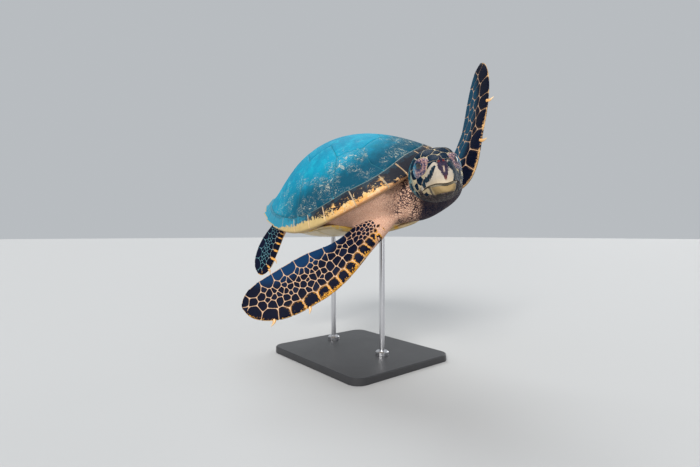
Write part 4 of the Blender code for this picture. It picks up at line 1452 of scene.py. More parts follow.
def covered(place, orbit, margin):
    """Whether the lids, grown by a factor, or the beak, by a margin, cover a place."""
    return in_orbit(place, orbit) or in_beak(place, margin)


def head_scales(finish, bvh):
    """The large plates of the head, mirrored left and right, with smaller ones between."""
    wanted = [(y, 90.0, radius) for y, radius in HEAD_SCALES_MIDDLE]
    for y, angle, radius in HEAD_SCALES_SIDE:
        wanted += [(y, angle, radius), (y, 180.0 - angle, radius)]
    places, normals, radii = [], [], []
    for y, angle, radius in wanted:
        p, n = on_head(bvh, head_part(y), math.radians(angle))
        places.append(p)
        normals.append(n)
        radii.append(radius)
    spots = rng.uniform((0.0, -90.0), (0.86, 270.0), (HEAD_TRIES, 2))
    for part, angle in spots:
        p, n = on_head(bvh, part, math.radians(angle))
        local = body_to_head(p)
        low = math.sin(math.radians(angle)) < -0.55
        size = (0.0042 if low or local[1] > 0.050 else 0.0052) * rng.uniform(0.8, 1.25)
        if covered(local, 1.12, 0.004) or (local[2] > 0.010 and local[1] < 0.052):
            continue
        gaps = np.linalg.norm(np.array(places) - p, axis=1) - np.array(radii) * 0.92
        if gaps.min() > size * 0.92:
            places.append(p)
            normals.append(n)
            radii.append(size)
    places, normals, radii = np.array(places), np.array(normals), np.array(radii)
    heap = Heap()
    for index, (origin, n) in enumerate(zip(places, normals)):
        big = index < len(wanted)
        a, b = tangent(n)
        offset = places - origin
        near = np.nonzero((np.linalg.norm(offset, axis=1) < 0.055) & (normals @ n > 0.1))[0]
        flat = np.stack([offset[near] @ a, offset[near] @ b], -1)
        own = int(np.nonzero(near == index)[0][0])
        cell = power_cell(own, flat, radii[near], 0.022)
        if cell is None:
            continue
        cell = inset_convex(cell, 0.0002 if big else 0.0005)
        if cell is None:
            continue
        ring = even_ring(round_corners(cell, 0.90 if big else 0.84), 0.0022)
        if ring is None or ring_size(ring) < 0.0016:
            continue

        def spread(points):
            """Flat places of this scale in body axes."""
            return origin + points[..., :1] * a + points[..., 1:] * b

        bad = [covered(q, 1.0, 0.0) for q in body_to_head(spread(ring))]
        if all(bad):
            continue
        middle = ring.mean(0)
        for k in np.nonzero(bad)[0]:
            for share in np.linspace(0.95, 0.05, 19):
                spot = middle + (ring[k] - middle) * share
                if not covered(body_to_head(spread(spot)), 1.0, 0.0):
                    break
            ring[k] = spot

        def surface(points):
            hits = [bvh.find_nearest(Vector(q)) for q in spread(points)]
            return np.array([hit[0] for hit in hits]), np.array([hit[1] for hit in hits])

        def uv_of(points):
            q = body_to_head(spread(points))
            turn = np.arctan2(q[:, 2], q[:, 0] + 1e-9)
            turn = np.where(turn < -math.pi / 2.0, turn + 2.0 * math.pi, turn)
            return np.stack([0.5 + (turn - math.pi / 2.0) / 6.6, 0.05 + (q[:, 1] + 0.12) * 4.5], -1)

        def layers_of(points):
            return dict(big=float(big))

        high = 0.0009 if big else 0.0006
        scale_plate(heap, ring, surface, high, 0.0032, float(rng.uniform()), uv_of, layers_of)
    head = body_to_head(np.concatenate(heap.points))
    heap.make("head_scales", finish, "skin", head=head, cheek=cheek_reach(head))


# ---- eyes and lids ---------------------------------------------------------

def eye_axes(side):
    """Centre, gaze, forward and upper directions of an eye, in head axes."""
    gaze = unit((side * 0.80, -0.58, 0.12))
    up = np.array((0.0, 0.0, 1.0))
    front = unit(np.cross(gaze, up)) * side
    front = front if front[1] < 0.0 else -front
    upper = unit(np.cross(front, gaze))
    upper = upper if upper[2] > 0.0 else -upper
    tilt = math.radians(-14.0)
    f = front * math.cos(tilt) + upper * math.sin(tilt)
    u = upper * math.cos(tilt) - front * math.sin(tilt)
    centre = EYE_CENTRE * np.array((side, 1.0, 1.0))
    return centre, gaze, f, u


def in_orbit(local, grow):
    """Whether a place on the head lies under the eyelids."""
    side = 1.0 if local[0] >= 0.0 else -1.0
    centre, gaze, f, u = eye_axes(side)
    away = np.asarray(local) - centre
    if away @ gaze < 0.0:
        return False
    return ((away @ f - 0.0070) / 0.0215) ** 2 + (away @ u / 0.0235) ** 2 < grow ** 2


def lid_mesh(side, bvh):
    """Wrinkled lids round one eye, from the opening out to the scales of the head."""
    centre, gaze, f, u = eye_axes(side)
    turns = full_turn(144)
    rows = np.concatenate([[-0.10, -0.05, 0.0, 0.015, 0.035], np.linspace(0.06, 1.0, 42)])
    ball = EYE_RADIUS + CORNEA
    grid = np.zeros((len(rows), len(turns), 3))
    for j, turn in enumerate(turns):
        c, s = math.cos(turn), math.sin(turn)
        open_f = 0.0096 * c - 0.0008
        open_u = 0.0068 * math.copysign(abs(s) ** 1.25, s) * (0.86 if s > 0.0 else 1.0)
        far = unit(f * (0.0070 + 0.0225 * c) + u * (0.0245 * s) + gaze * 0.0105)
        edge = unit(f * open_f + u * open_u + gaze * 0.0152)
        hit = bvh.ray_cast(Vector(head_to_body(centre + far * 0.08)), Vector(-far @ HEAD_TURN))[0]
        skin = 0.030 if hit is None else np.linalg.norm(body_to_head(hit) - centre)
        skin = min(max(skin, 0.019), 0.034)
        for i, t in enumerate(rows):
            share = max(t, 0.0)
            lift = 0.0030 * math.sin(math.pi * min(share * 1.15, 1.0)) ** 0.8
            radius = mix(ball, skin - 0.0004, float(smooth(0.25, 1.0, share))) + lift
            radius += 0.0009 * float(smooth(0.0, 0.05, share))
            if t < 0.0:
                radius = ball + 0.0004 + 0.016 * t
            grid[i, j] = unit(mix(edge, far, share)) * radius
    flat = grid.reshape(-1, 3)
    size = np.linalg.norm(flat, axis=1, keepdims=True)
    share = np.repeat(np.maximum(rows, 0.0), len(turns))
    fold = np.sin(share * 2.0 * math.pi * 5.2 + 1.7 * cloud(flat, 70.0, 3, 3)) * 0.00042
    grain = cloud(flat, 420.0, 5, 2) * 0.00022
    amount = (fold + grain) * smooth(0.03, 0.12, share) * (1.0 - smooth(0.93, 1.0, share))
    flat = flat / size * (size + amount[:, None])
    return head_to_body(flat + centre), grid_faces(len(rows), len(turns), True), share


def eye_ball(side):
    """An eyeball whose rings run round its gaze, with how far each point lies from it."""
    centre, gaze, f, u = eye_axes(side)
    rows = np.concatenate([np.linspace(0.0, 0.9, 28), np.linspace(0.97, 3.1, 26)])[1:]
    turns = full_turn(64)
    r, t = np.meshgrid(rows, turns, indexing="ij")
    cornea = CORNEA * (1.0 - smooth(0.30, 0.62, r))
    d = (gaze * np.cos(r)[..., None] + f * (np.sin(r) * np.cos(t))[..., None]
         + u * (np.sin(r) * np.sin(t))[..., None])
    points, faces = ring_solid(centre + d * (EYE_RADIUS + cornea)[..., None])
    tip = len(points)
    points = np.vstack([points, centre + gaze * (EYE_RADIUS + CORNEA)])
    faces = faces[:-2] + fan_faces(0, len(turns), tip) + faces[-1:]
    return head_to_body(points), faces, np.append(r.ravel(), 0.0), np.append(t.ravel(), 0.0)


# ---- beak ------------------------------------------------------------------

def mouth_z(turn):
    """Height of the mouth line; turn is the angle from straight ahead, in degrees."""
    a = np.abs(turn)
    line = -0.0335 + 0.0018 * smooth(6.0, 26.0, a) - 0.0070 * smooth(50.0, 105.0, a)
    return line - 0.0018 * np.exp(-(a / 10.0) ** 2)


def beak_top_z(turn):
    """Height of the upper edge of the beak's horn."""
    a = np.abs(turn)
    top = 0.0165 + 0.0065 * np.exp(-((a - 24.0) / 9.0) ** 2)
    return top - 0.040 * smooth(30.0, 98.0, a) - 0.010 * smooth(80.0, 98.0, a)


def beak_low_z(turn):
    """Height of the lower edge of the beak's horn."""
    a = np.abs(turn)
    return -0.0550 + 0.0090 * smooth(45.0, 100.0, a)


BEAK_AXIS_Y = -0.052
BEAK_THICK = 0.0050


def in_beak(local, margin):
    """Whether a place on the head lies under the horn of the beak."""
    turn = math.degrees(math.atan2(local[0], -(local[1] - BEAK_AXIS_Y)))
    if abs(turn) > 97.0:
        return False
    return float(beak_low_z(turn)) - margin < local[2] < float(beak_top_z(turn)) + margin


def beak_piece(name, finish, bvh, upper):
    """Horn over the snout: the upper beak with its hook, or the lower beak."""
    turns = np.linspace(-96.0, 96.0, 129)
    rows = np.linspace(0.0, 1.0, 52)
    grid = np.zeros((len(rows), len(turns), 3))
    ahead = np.zeros(grid.shape)
    for j, turn in enumerate(turns):
        a = math.radians(turn)
        d = np.array((math.sin(a), -math.cos(a), 0.0))
        mouth = float(mouth_z(turn))
        if upper:
            low, high = mouth, float(beak_top_z(turn))
        else:
            low, high = float(beak_low_z(turn)), mouth - 0.0006
        high = max(high, low + 0.002)
        for i, share in enumerate(rows):
            core = np.array((0.0, BEAK_AXIS_Y, mix(low, high, share)))
            hit = bvh.ray_cast(Vector(head_to_body(core + d * 0.12)), Vector(-d @ HEAD_TURN))[0]
            grid[i, j] = core + d * 0.03 if hit is None else body_to_head(hit)
            ahead[i, j] = d
    share = rows[:, None]
    turn = np.abs(turns)[None, :]
    side_fade = 1.0 - smooth(70.0, 96.0, turn)
    if upper:
        out = 0.0016 * smooth(1.0, 0.90, share) * (0.35 + 0.65 * side_fade)
        lip = 0.0008 * np.exp(-((share - 0.02) / 0.10) ** 2) * side_fade
        hook = 0.0050 * np.exp(-(turn / 15.0) ** 2) * smooth(0.75, 0.0, share)
        ridge = 0.0012 * np.exp(-(turn / 9.0) ** 2) * smooth(0.05, 0.5, share)
        out = out + lip + hook + ridge
    else:
        out = 0.0012 * smooth(0.0, 0.12, share) * (0.3 + 0.7 * side_fade)
        out = out - 0.0022 * smooth(0.6, 1.0, share) * (1.0 - smooth(30.0, 80.0, turn))
    grid = grid + ahead * out[..., None]
    inner = grid - ahead * BEAK_THICK
    index = border_of(len(rows), len(turns))
    points = np.concatenate([grid.reshape(-1, 3), inner.reshape(-1, 3)[index]])
    faces = grid_faces(len(rows), len(turns)) + skirt_faces(index, len(rows) * len(turns))
    spread = np.tile(turns, len(rows))
    level = np.repeat(rows, len(turns))
    return piece(name, head_to_body(points), faces, finish, "horn",
                 head=points, turned=np.concatenate([spread, spread[index]]),
                 level=np.concatenate([level, level[index]]), cheek=cheek_reach(points))


# ---- claws -----------------------------------------------------------------

def claw(name, limb, part, finish):
    """A blunt horn claw standing on the leading edge, curved towards the limb's tip."""
    parts = np.array((part, part - 0.02, part + 0.02))
    foot, before, after = limb.at(parts, np.zeros(3))
    out, normal = limb.frame(np.array(part))[2:]
    along = unit(after - before)
    away = unit(out - along * np.dot(out, along))
    away = unit(away - normal * CLAW_LEAN.get(limb.name, 0.0))
    rows = np.concatenate([np.linspace(-0.25, 0.9, 20), [0.95, 0.985]])
    turns = full_turn(24)
    grid = []
    for t in rows:
        width = 0.0048 * math.sqrt(max(1.0 - max(t, 0.0) ** 1.5, 0.0)) * (1.0 + 0.25 * max(-t, 0.0))
        middle = foot + (away + along * max(t, 0.0) * CLAW_CURVE) * ((CLAW_LENGTH - 0.0005) * t)
        grid.append([middle + (along * math.cos(a) + normal * 0.62 * math.sin(a)) * width
                     for a in turns])
    points, faces = ring_solid(np.array(grid))
    tip = foot + (away + along * CLAW_CURVE) * (CLAW_LENGTH - 0.0002)
    faces = faces[:-1] + fan_faces(len(points) - len(turns), len(turns), len(points))
    reach = np.append(np.repeat(rows, len(turns)), 1.0)
    return piece(name, np.vstack([points, tip]), faces, finish, "horn", reach=reach)


# ---- finishes --------------------------------------------------------------

def seam_finish():
    m = Paint("shell_seam", 0.6)
    tone = m.noise(60.0, 4.0, 0.6)
    teal = m.blend(tone, (0.004, 0.24, 0.36), (0.02, 0.33, 0.44))
    m.colour(m.blend(m.attr("under"), teal, (0.46, 0.27, 0.12)))
    m.bump(m.noise(900.0), 0.3, 0.0003)
    return m.mat


def dome_finish():
    """Horn under a film of blue-green algae, darker low down and speckled above the margin."""
    m = Paint("shell_algae_film", 0.6, shine=0.1)
    seam = m.attr("seam")
    wide = m.attr("wide")
    place = m.split(m.at())
    broad = m.noise(7.0, 3.0, 0.55)
    mid = m.noise(38.0, 4.0, 0.6)
    fine = m.noise(240.0, 5.0, 0.7)
    body = m.blend(m.step(broad, 0.35, 0.68), (0.001, 0.19, 0.315), (0.002, 0.26, 0.405))
    body = m.blend(m.step(mid, 0.45, 0.75), body, (0.002, 0.31, 0.435))
    body = m.blend(m.step(fine, 0.45, 0.75) * 0.5, body, (0.01, 0.37, 0.475))
    ahead = m.step(place["Y"], 0.16, -0.08)
    low = wide + (mid - 0.5) * 0.3
    low = m.step(low, 0.58, 0.86) * ahead
    body = m.blend(low * 0.92, body, (0.003, 0.045, 0.08))
    pits = m.step(m.noise(520.0, 3.0, 0.6), 0.54, 0.68)
    body = m.blend(pits * 0.45, body, (0.002, 0.105, 0.19))
    band = m.step(wide, 0.44, 0.72) * m.step(wide, 1.1, 0.98)
    band = band * m.step(place["Y"], 0.22, 0.02)
    patch = m.step(m.noise(20.0, 3.0, 0.6), 0.42, 0.6)
    marks = m.noise(120.0, 6.0, 0.75, where=m.stretch((1.0, 0.6, 1.0)), distortion=0.8)
    marks = m.step(marks, 0.545, 0.615)
    speck = m.step(m.noise(420.0, 2.0, 0.5), 0.58, 0.66)
    marks = m.maths("MAXIMUM", marks, speck * 0.6)
    marks = band * patch * marks
    body = m.blend(marks * 0.85, body, (0.46, 0.46, 0.37))
    edge = m.step(seam, 0.0018, 0.0002)
    body = m.blend(edge * 0.35, body, (0.05, 0.24, 0.3))
    m.colour(body)
    m.rough(0.5, 0.8, fine)
    m.bump(broad, 0.25, 0.004)
    m.bump(m.noise(90.0, 4.0, 0.6), 0.25, 0.001)
    m.bump(fine - pits * 0.6, 0.35, 0.0006)
    return m.mat


def margin_finish():
    """Marginal scutes: dark horn with ragged golden and cream rays, filmed by algae behind."""
    m = Paint("shell_margin_horn", 0.45, coat=0.05, shine=0.3)
    across = m.attr("across")
    turn = m.attr("round")
    seam = m.attr("seam")
    rays = m.noise(1.0, 4.0, 0.65, where=m.stretch((230.0, 230.0, 60.0)))
    blobs = m.noise(55.0, 4.0, 0.6)
    lone = m.noise(42.0, 5.0, 0.75, where=m.stretch((1.0, 1.0, 1.5)), distortion=0.7)
    shift = (rays - 0.5) * 0.7
    shift = shift + (blobs - 0.5) * 1.3
    shift = shift * m.step(turn, 118.0, 92.0)
    level = across + shift
    limit = 1.04 + m.step(turn, 16.0, 21.0) * -0.32
    limit = limit + m.step(turn, 58.0, 70.0) * -0.2
    limit = limit + m.step(turn, 84.0, 112.0) * 0.42
    pale = m.step(level - limit, -0.02, 0.03)
    isles = m.step(lone, 0.53, 0.56) * m.step(across, 0.2, 0.45)
    isles = isles * m.step(turn, 13.0, 20.0)
    isles = isles * m.step(turn, 80.0, 60.0)
    pale = m.maths("MAXIMUM", pale, isles)
    front = m.step(turn, 66.0, 50.0)
    gold = m.blend(m.step(blobs, 0.42, 0.62), (0.7, 0.33, 0.075), (0.66, 0.46, 0.2))
    edge_red = m.step(across + shift * 0.3, 0.88, 1.02) * m.step(turn, 58.0, 40.0)
    gold = m.blend(edge_red * 0.55, gold, (0.48, 0.17, 0.075))
    flecks = m.step(m.noise(75.0, 4.0, 0.7), 0.52, 0.58) * 0.6
    gold = m.blend(flecks, gold, (0.64, 0.48, 0.28))
    cream = m.blend(m.noise(90.0), (0.44, 0.3, 0.11), (0.58, 0.43, 0.19))
    light = m.blend(front, cream, gold)
    dark = m.blend(m.noise(140.0, 4.0, 0.6), (0.002, 0.005, 0.012), (0.016, 0.014, 0.02))
    film = turn + (blobs - 0.5) * 40.0
    film = m.step(film, 66.0, 92.0)
    teal = m.blend(m.noise(200.0, 4.0, 0.7), (0.002, 0.165, 0.28), (0.008, 0.27, 0.38))
    dark = m.blend(film * 0.96, dark, teal)
    upper_film = m.step(level - 0.22, 0.06, -0.1) * 0.4
    dark = m.blend(upper_film, dark, (0.006, 0.06, 0.095))
    body = m.blend(pale, dark, light)
    under = m.step(across, 1.03, 1.09)
    below = m.blend(front, (0.5, 0.35, 0.14), (0.42, 0.2, 0.1))
    body = m.blend(under * 0.85, body, below)
    top_line = m.step(across, 0.055, 0.02) * m.step(turn, 86.0, 60.0)
    body = m.blend(top_line * 0.55, body, (0.34, 0.36, 0.3))
    ragged = seam + (blobs - 0.5) * 0.003
    line = m.step(ragged, 0.003, 0.0013)
    ends = line * m.step(across, 0.06, 0.12)
    ends = ends * m.step(turn, 112.0, 84.0)
    body = m.blend(ends * 0.85, body, (0.62, 0.42, 0.24))
    m.colour(body)
    m.rough(0.36, 0.6, blobs)
    m.bump(rays, 0.15, 0.0006)
    m.bump(m.noise(300.0, 3.0), 0.15, 0.0003)
    return m.mat


def plastron_finish():
    m = Paint("lower_shell_horn", 0.38, coat=0.2)
    seam = m.attr("seam")
    broad = m.noise(12.0, 3.0, 0.6)
    body = m.blend(broad, (0.56, 0.42, 0.19), (0.66, 0.53, 0.32))
    spots = m.step(m.noise(38.0, 2.0, 0.5), 0.58, 0.68)
    body = m.blend(spots * 0.55, body, (0.66, 0.42, 0.06))
    rings = m.noise(1.0, 2.0, 0.5, where=m.stretch((60.0, 60.0, 60.0)))
    body = m.blend(m.step(rings, 0.5, 0.75) * 0.3, body, (0.46, 0.36, 0.2))
    stain = m.step(m.noise(22.0, 5.0, 0.7), 0.6, 0.78)
    body = m.blend(stain * 0.45, body, (0.2, 0.19, 0.13))
    line = m.step(seam, 0.0024, 0.0004)
    body = m.blend(line * 0.6, body, (0.36, 0.27, 0.14))
    m.colour(body)
    m.rough(0.3, 0.5, broad)
    m.bump(m.noise(70.0, 4.0, 0.6), 0.15, 0.0008)
    m.bump(m.noise(500.0, 3.0), 0.12, 0.0003)
    return m.mat


def plastron_seam_finish():
    m = Paint("lower_shell_seam", 0.6)
    body = m.blend(m.noise(80.0), (0.5, 0.37, 0.19), (0.66, 0.52, 0.3))
    yellow = m.step(m.noise(52.0, 2.0, 0.5), 0.52, 0.58)
    body = m.blend(yellow * 0.8, body, (0.7, 0.4, 0.03))
    m.colour(body)
    m.bump(m.noise(700.0), 0.3, 0.0003)
    return m.mat


def skin_finish():
    """Soft wrinkled skin: peach on neck and shoulders, cream between the scales, with painted shade
    on the throat.
    """
    m = Paint("turtle_skin", 0.52, soft=0.02, shine=0.04)
    fine = m.noise(420.0, 4.0, 0.65)
    mid = m.noise(90.0, 4.0, 0.6)
    body = m.blend(mid, (0.5, 0.275, 0.18), (0.66, 0.415, 0.3))
    body = m.blend(m.step(fine, 0.5, 0.68) * 0.55, body, (0.72, 0.52, 0.41))
    pores = m.step(m.cells(210.0), 0.14, 0.02)
    body = m.blend(pores * 0.5, body, (0.26, 0.12, 0.085))
    neck = m.attr("neck")
    dash = m.cells(1.0, m.at("fold"))
    drift = m.noise(26.0, 3.0, 0.6)
    width = m.step(drift, 0.34, 0.62) * 0.13
    gap = dash - width
    dark = m.step(gap, 0.05, -0.01) * neck
    body = m.blend(m.step(dash, 0.16, 0.34) * (neck * 0.6), body, (0.66, 0.44, 0.32))
    body = m.blend(dark * 0.92, body, (0.02, 0.014, 0.022))
    # Painted shade: the attribute read here darkens the throat, the left of the neck and the chin to
    # navy.
    painted_throat_shade = m.attr("painted_throat_shade")
    shade = painted_throat_shade + (mid - 0.5) * 0.5
    body = m.blend(m.step(shade, 0.25, 0.65) * 0.92, body, (0.01, 0.012, 0.028))
    hem = m.attr("hem") + (mid - 0.5) * 0.9
    hem = hem * m.step(m.attr("hem"), 0.0, 0.25)
    edge = m.blend(mid, (0.58, 0.43, 0.24), (0.7, 0.56, 0.36))
    edge = m.blend(m.step(m.noise(60.0, 2.0, 0.5), 0.53, 0.58), edge, (0.7, 0.4, 0.04))
    body = m.blend(m.step(hem, 0.3, 0.85) * 0.85, body, edge)
    plates = m.step(m.cells(88.0), 0.07, 0.16)
    cover = m.attr("rear") * m.step(m.noise(14.0, 3.0, 0.6), 0.28, 0.46)
    tone = m.blend(mid, (0.02, 0.024, 0.038), (0.08, 0.06, 0.06))
    body = m.blend(plates * cover * 0.8, body, tone)
    limb = m.attr("limb")
    lead = m.attr("lead")
    between = m.blend(m.noise(160.0), (0.5, 0.31, 0.19), (0.66, 0.45, 0.3))
    between = m.blend(m.step(lead, 0.006, 0.002), between, (0.6, 0.36, 0.15))
    away = m.step(lead + (mid - 0.5) * 0.02, 0.016, 0.03)
    hind = m.attr("hind") * away
    between = m.blend(hind * 0.85, between, (0.03, 0.2, 0.26))
    limb = limb + (mid - 0.5) * 0.5
    body = m.blend(m.step(limb, 0.3, 0.7), body, between)
    crown = m.attr("crown") + (mid - 0.5) * 1.1
    crown = m.step(crown, 0.25, 0.75) * m.step(m.attr("crown"), 0.0, 0.1)
    lines = m.blend(m.noise(120.0), (0.36, 0.31, 0.21), (0.54, 0.45, 0.31))
    head = m.split(m.at("head"))
    # Painted rim light: the lines at the back of the head are tinted teal, standing for blue light
    # from behind.
    rear = m.step(head["Y"], -0.034, -0.008) * 0.7
    lines = m.blend(rear, lines, (0.03, 0.26, 0.33))
    # Painted shade: the scale lines under the head are darkened.
    lines = m.blend(m.step(head["Z"], -0.03, -0.042), lines, (0.01, 0.011, 0.02))
    nose = m.attr("nose") + (mid - 0.5) * 0.01
    nose = m.step(nose, 0.0185, 0.016)
    lines = m.blend(nose, lines, (0.008, 0.01, 0.028))
    body = m.blend(crown, body, lines)
    hole = m.step(m.attr("nostril"), 0.004, 0.0022) * 0.9
    body = m.blend(hole, body, (0.14, 0.022, 0.02))
    m.colour(body)
    m.rough(0.42, 0.62, fine)
    m.bump(m.noise(130.0, 4.0, 0.6), 0.35, 0.0012)
    m.bump(m.step(dash, 0.0, 0.3) * neck, 0.7, 0.0016)
    m.bump(m.cells(420.0, feature="F1"), 0.35, 0.0005)
    return m.mat


def limb_scale_finish():
    m = Paint("flipper_scales", 0.55, shine=0.05)
    hind = m.attr("hind")
    left = m.attr("left")
    rim = m.attr("rim")
    lead = m.attr("lead")
    tag = m.attr("tag")
    part = m.attr("part")
    fine = m.noise(500.0, 3.0, 0.6)
    mid = m.noise(110.0, 4.0, 0.6)
    body = m.blend(mid, (0.0008, 0.0016, 0.007), (0.004, 0.006, 0.02))
    body = m.blend(m.step(tag, 0.6, 1.0) * 0.35, body, (0.01, 0.016, 0.042))
    back = m.step(lead + left * 0.04, 0.085, 0.125)
    rear = m.blend(left, (0.003, 0.03, 0.09), (0.004, 0.055, 0.105))
    body = m.blend(back * 0.9, body, rear)
    comb = m.noise(1.0, 4.0, 0.7, where=m.stretch((210.0, 210.0, 210.0)))
    wave = (comb - 0.5) * 0.05
    wave = wave + (tag - 0.5) * 0.014
    wave = wave * m.maths("MULTIPLY_ADD", left, -0.62, 1.0)
    reach = lead + wave
    inner = m.step(part, 0.74, 0.46)
    limit = m.maths("MULTIPLY_ADD", inner, 0.01, -0.005)
    limit = limit - left * 0.0035
    limit = limit - hind * 0.012
    limit = limit - m.step(part, 0.16, 0.04) * 0.012
    gold = m.step(reach - limit, 0.002, -0.001)
    rims = rim + (comb - 0.5) * 0.016
    bars = m.step(rim, 0.004, 0.0028) * hind * m.step(lead, 0.017, 0.013)
    rims = m.step(rims, 0.0034, 0.0014) * m.step(lead, 0.038, 0.018)
    rims = rims * (1.0 - hind)
    rims = rims * m.step(part, 0.8, 0.56)
    plain = left * 0.9 * m.step(part, 0.12, 0.26)
    rims = rims * (1.0 - plain)
    gold = m.maths("MAXIMUM", gold, m.maths("MAXIMUM", rims, bars))
    tone = m.blend(mid, (0.66, 0.26, 0.014), (0.68, 0.36, 0.06))
    tone = m.blend(left * 0.8, tone, (0.62, 0.38, 0.19))
    body = m.blend(gold, body, tone)
    ragged = rim + (fine - 0.5) * 0.0016
    border = m.step(ragged, 0.0007, 0.0001)
    pale = m.blend(m.step(lead, 0.03, 0.008), (0.5, 0.33, 0.22), (0.66, 0.38, 0.14))
    pale = m.blend(hind * m.step(lead, 0.016, 0.03), pale, (0.02, 0.17, 0.23))
    body = m.blend(border * 0.6, body, pale)
    m.colour(body)
    m.rough(0.48, 0.66, fine)
    m.bump(mid, 0.2, 0.0006)
    m.bump(fine, 0.2, 0.0002)
    return m.mat


def head_scale_finish():
    m = Paint("head_scales", 0.48, shine=0.04)
    rim = m.attr("rim")
    big = m.attr("big")
    head = m.split(m.at("head"))
    mid = m.noise(120.0, 4.0, 0.6)
    fine = m.noise(520.0, 3.0, 0.6)
    body = m.blend(mid, (0.0008, 0.005, 0.016), (0.002, 0.018, 0.042))
    # Painted rim light: the back of the head is tinted teal, standing for blue light from behind.
    behind = m.step(head["Y"] + (mid - 0.5) * 0.03, -0.028, 0.02)
    body = m.blend(behind * 0.8, body, (0.008, 0.17, 0.25))
    small = m.blend(mid, (0.34, 0.27, 0.155), (0.5, 0.42, 0.28))
    rear = m.step(head["Y"], -0.034, -0.01)
    small = m.blend(rear * 0.85, small, (0.02, 0.2, 0.26))
    cheek = m.attr("cheek") + (fine - 0.5) * 0.012
    small = m.blend(m.step(cheek, 0.0065, 0.005) * 0.9, small, (0.006, 0.04, 0.065))
    # Painted shade: the small scales under the head and their borders are darkened to navy.
    low = head["Z"] + (head["Y"] + 0.01) * 0.22
    under = m.step(low, -0.036, -0.045)
    painted_chin_shade = m.blend(m.step(mid, 0.42, 0.7), (0.006, 0.007, 0.015), (0.1, 0.07, 0.075))
    small = m.blend(under * 0.9, small, painted_chin_shade)
    small = m.blend(m.step(rim + fine * 0.001, 0.0012, 0.0005), small,
                    m.blend(under, (0.3, 0.24, 0.15), (0.018, 0.02, 0.036)))
    ragged = rim + (fine - 0.5) * 0.002
    border = m.step(ragged, 0.0006, 0.0001)
    pale = m.blend(m.noise(90.0), (0.4, 0.33, 0.21), (0.56, 0.48, 0.33))
    body = m.blend(border * 0.8, body, pale)
    body = m.blend(big, small, body)
    m.colour(body)
    m.rough(0.38, 0.58, fine)
    m.bump(mid, 0.2, 0.0007)
    m.bump(fine, 0.2, 0.0002)
    return m.mat


def lid_finish():
    m = Paint("eyelid_skin", 0.5, soft=0.05, shine=0.12)
    share = m.attr("share")
    fine = m.noise(600.0, 4.0, 0.65)
    mid = m.noise(150.0, 4.0, 0.6)
    body = m.blend(mid, (0.13, 0.07, 0.095), (0.4, 0.245, 0.225))
    warm = m.step(m.noise(210.0, 3.0, 0.6), 0.5, 0.6)
    body = m.blend(warm * 0.6, body, (0.5, 0.24, 0.16))
    spots = m.step(m.noise(190.0, 5.0, 0.75), 0.47, 0.53)
    body = m.blend(spots * 0.92, body, (0.022, 0.022, 0.07))
    light = m.step(m.noise(260.0, 4.0, 0.7), 0.55, 0.62) * 0.7
    body = m.blend(light, body, (0.58, 0.45, 0.41))
    grey = m.step(share, 0.34, 0.04)
    body = m.blend(grey * 0.9, body, (0.012, 0.03, 0.075))
    head = m.split(m.at("head"))
    low = m.step(head["Z"], 0.014, -0.004)
    low = low * m.step(fine, 0.62, 0.4)
    body = m.blend(low * 0.75, body, (0.01, 0.06, 0.11))
    # Painted rim light: the rear of the lids is tinted teal, standing for blue light from behind.
    rear = m.step(head["Y"], -0.05, -0.036) * 0.75
    body = m.blend(rear, body, (0.012, 0.19, 0.28))
    rim = m.step(share, 0.9, 0.97)
    body = m.blend(rim * 0.7, body, (0.5, 0.36, 0.25))
    m.colour(body)
    m.rough(0.4, 0.6, fine)
    m.bump(mid, 0.3, 0.0006)
    m.bump(fine, 0.4, 0.0003)
    return m.mat


def eye_finish():
    m = Paint("eye_wet", 0.06, coat=1.0, coat_rough=0.02)
    away = m.attr("away")
    streak = m.noise(1.0, 3.0, 0.6, where=m.at("spoke"))
    iris = m.blend(streak, (0.01, 0.007, 0.005), (0.06, 0.034, 0.016))
    body = m.blend(m.step(away, 0.3, 0.36), (0.002, 0.002, 0.003), iris)
    body = m.blend(m.step(away, 0.6, 0.7), body, (0.006, 0.006, 0.008))
    m.colour(body)
    m.bump(streak, 0.05, 0.0001)
    return m.mat


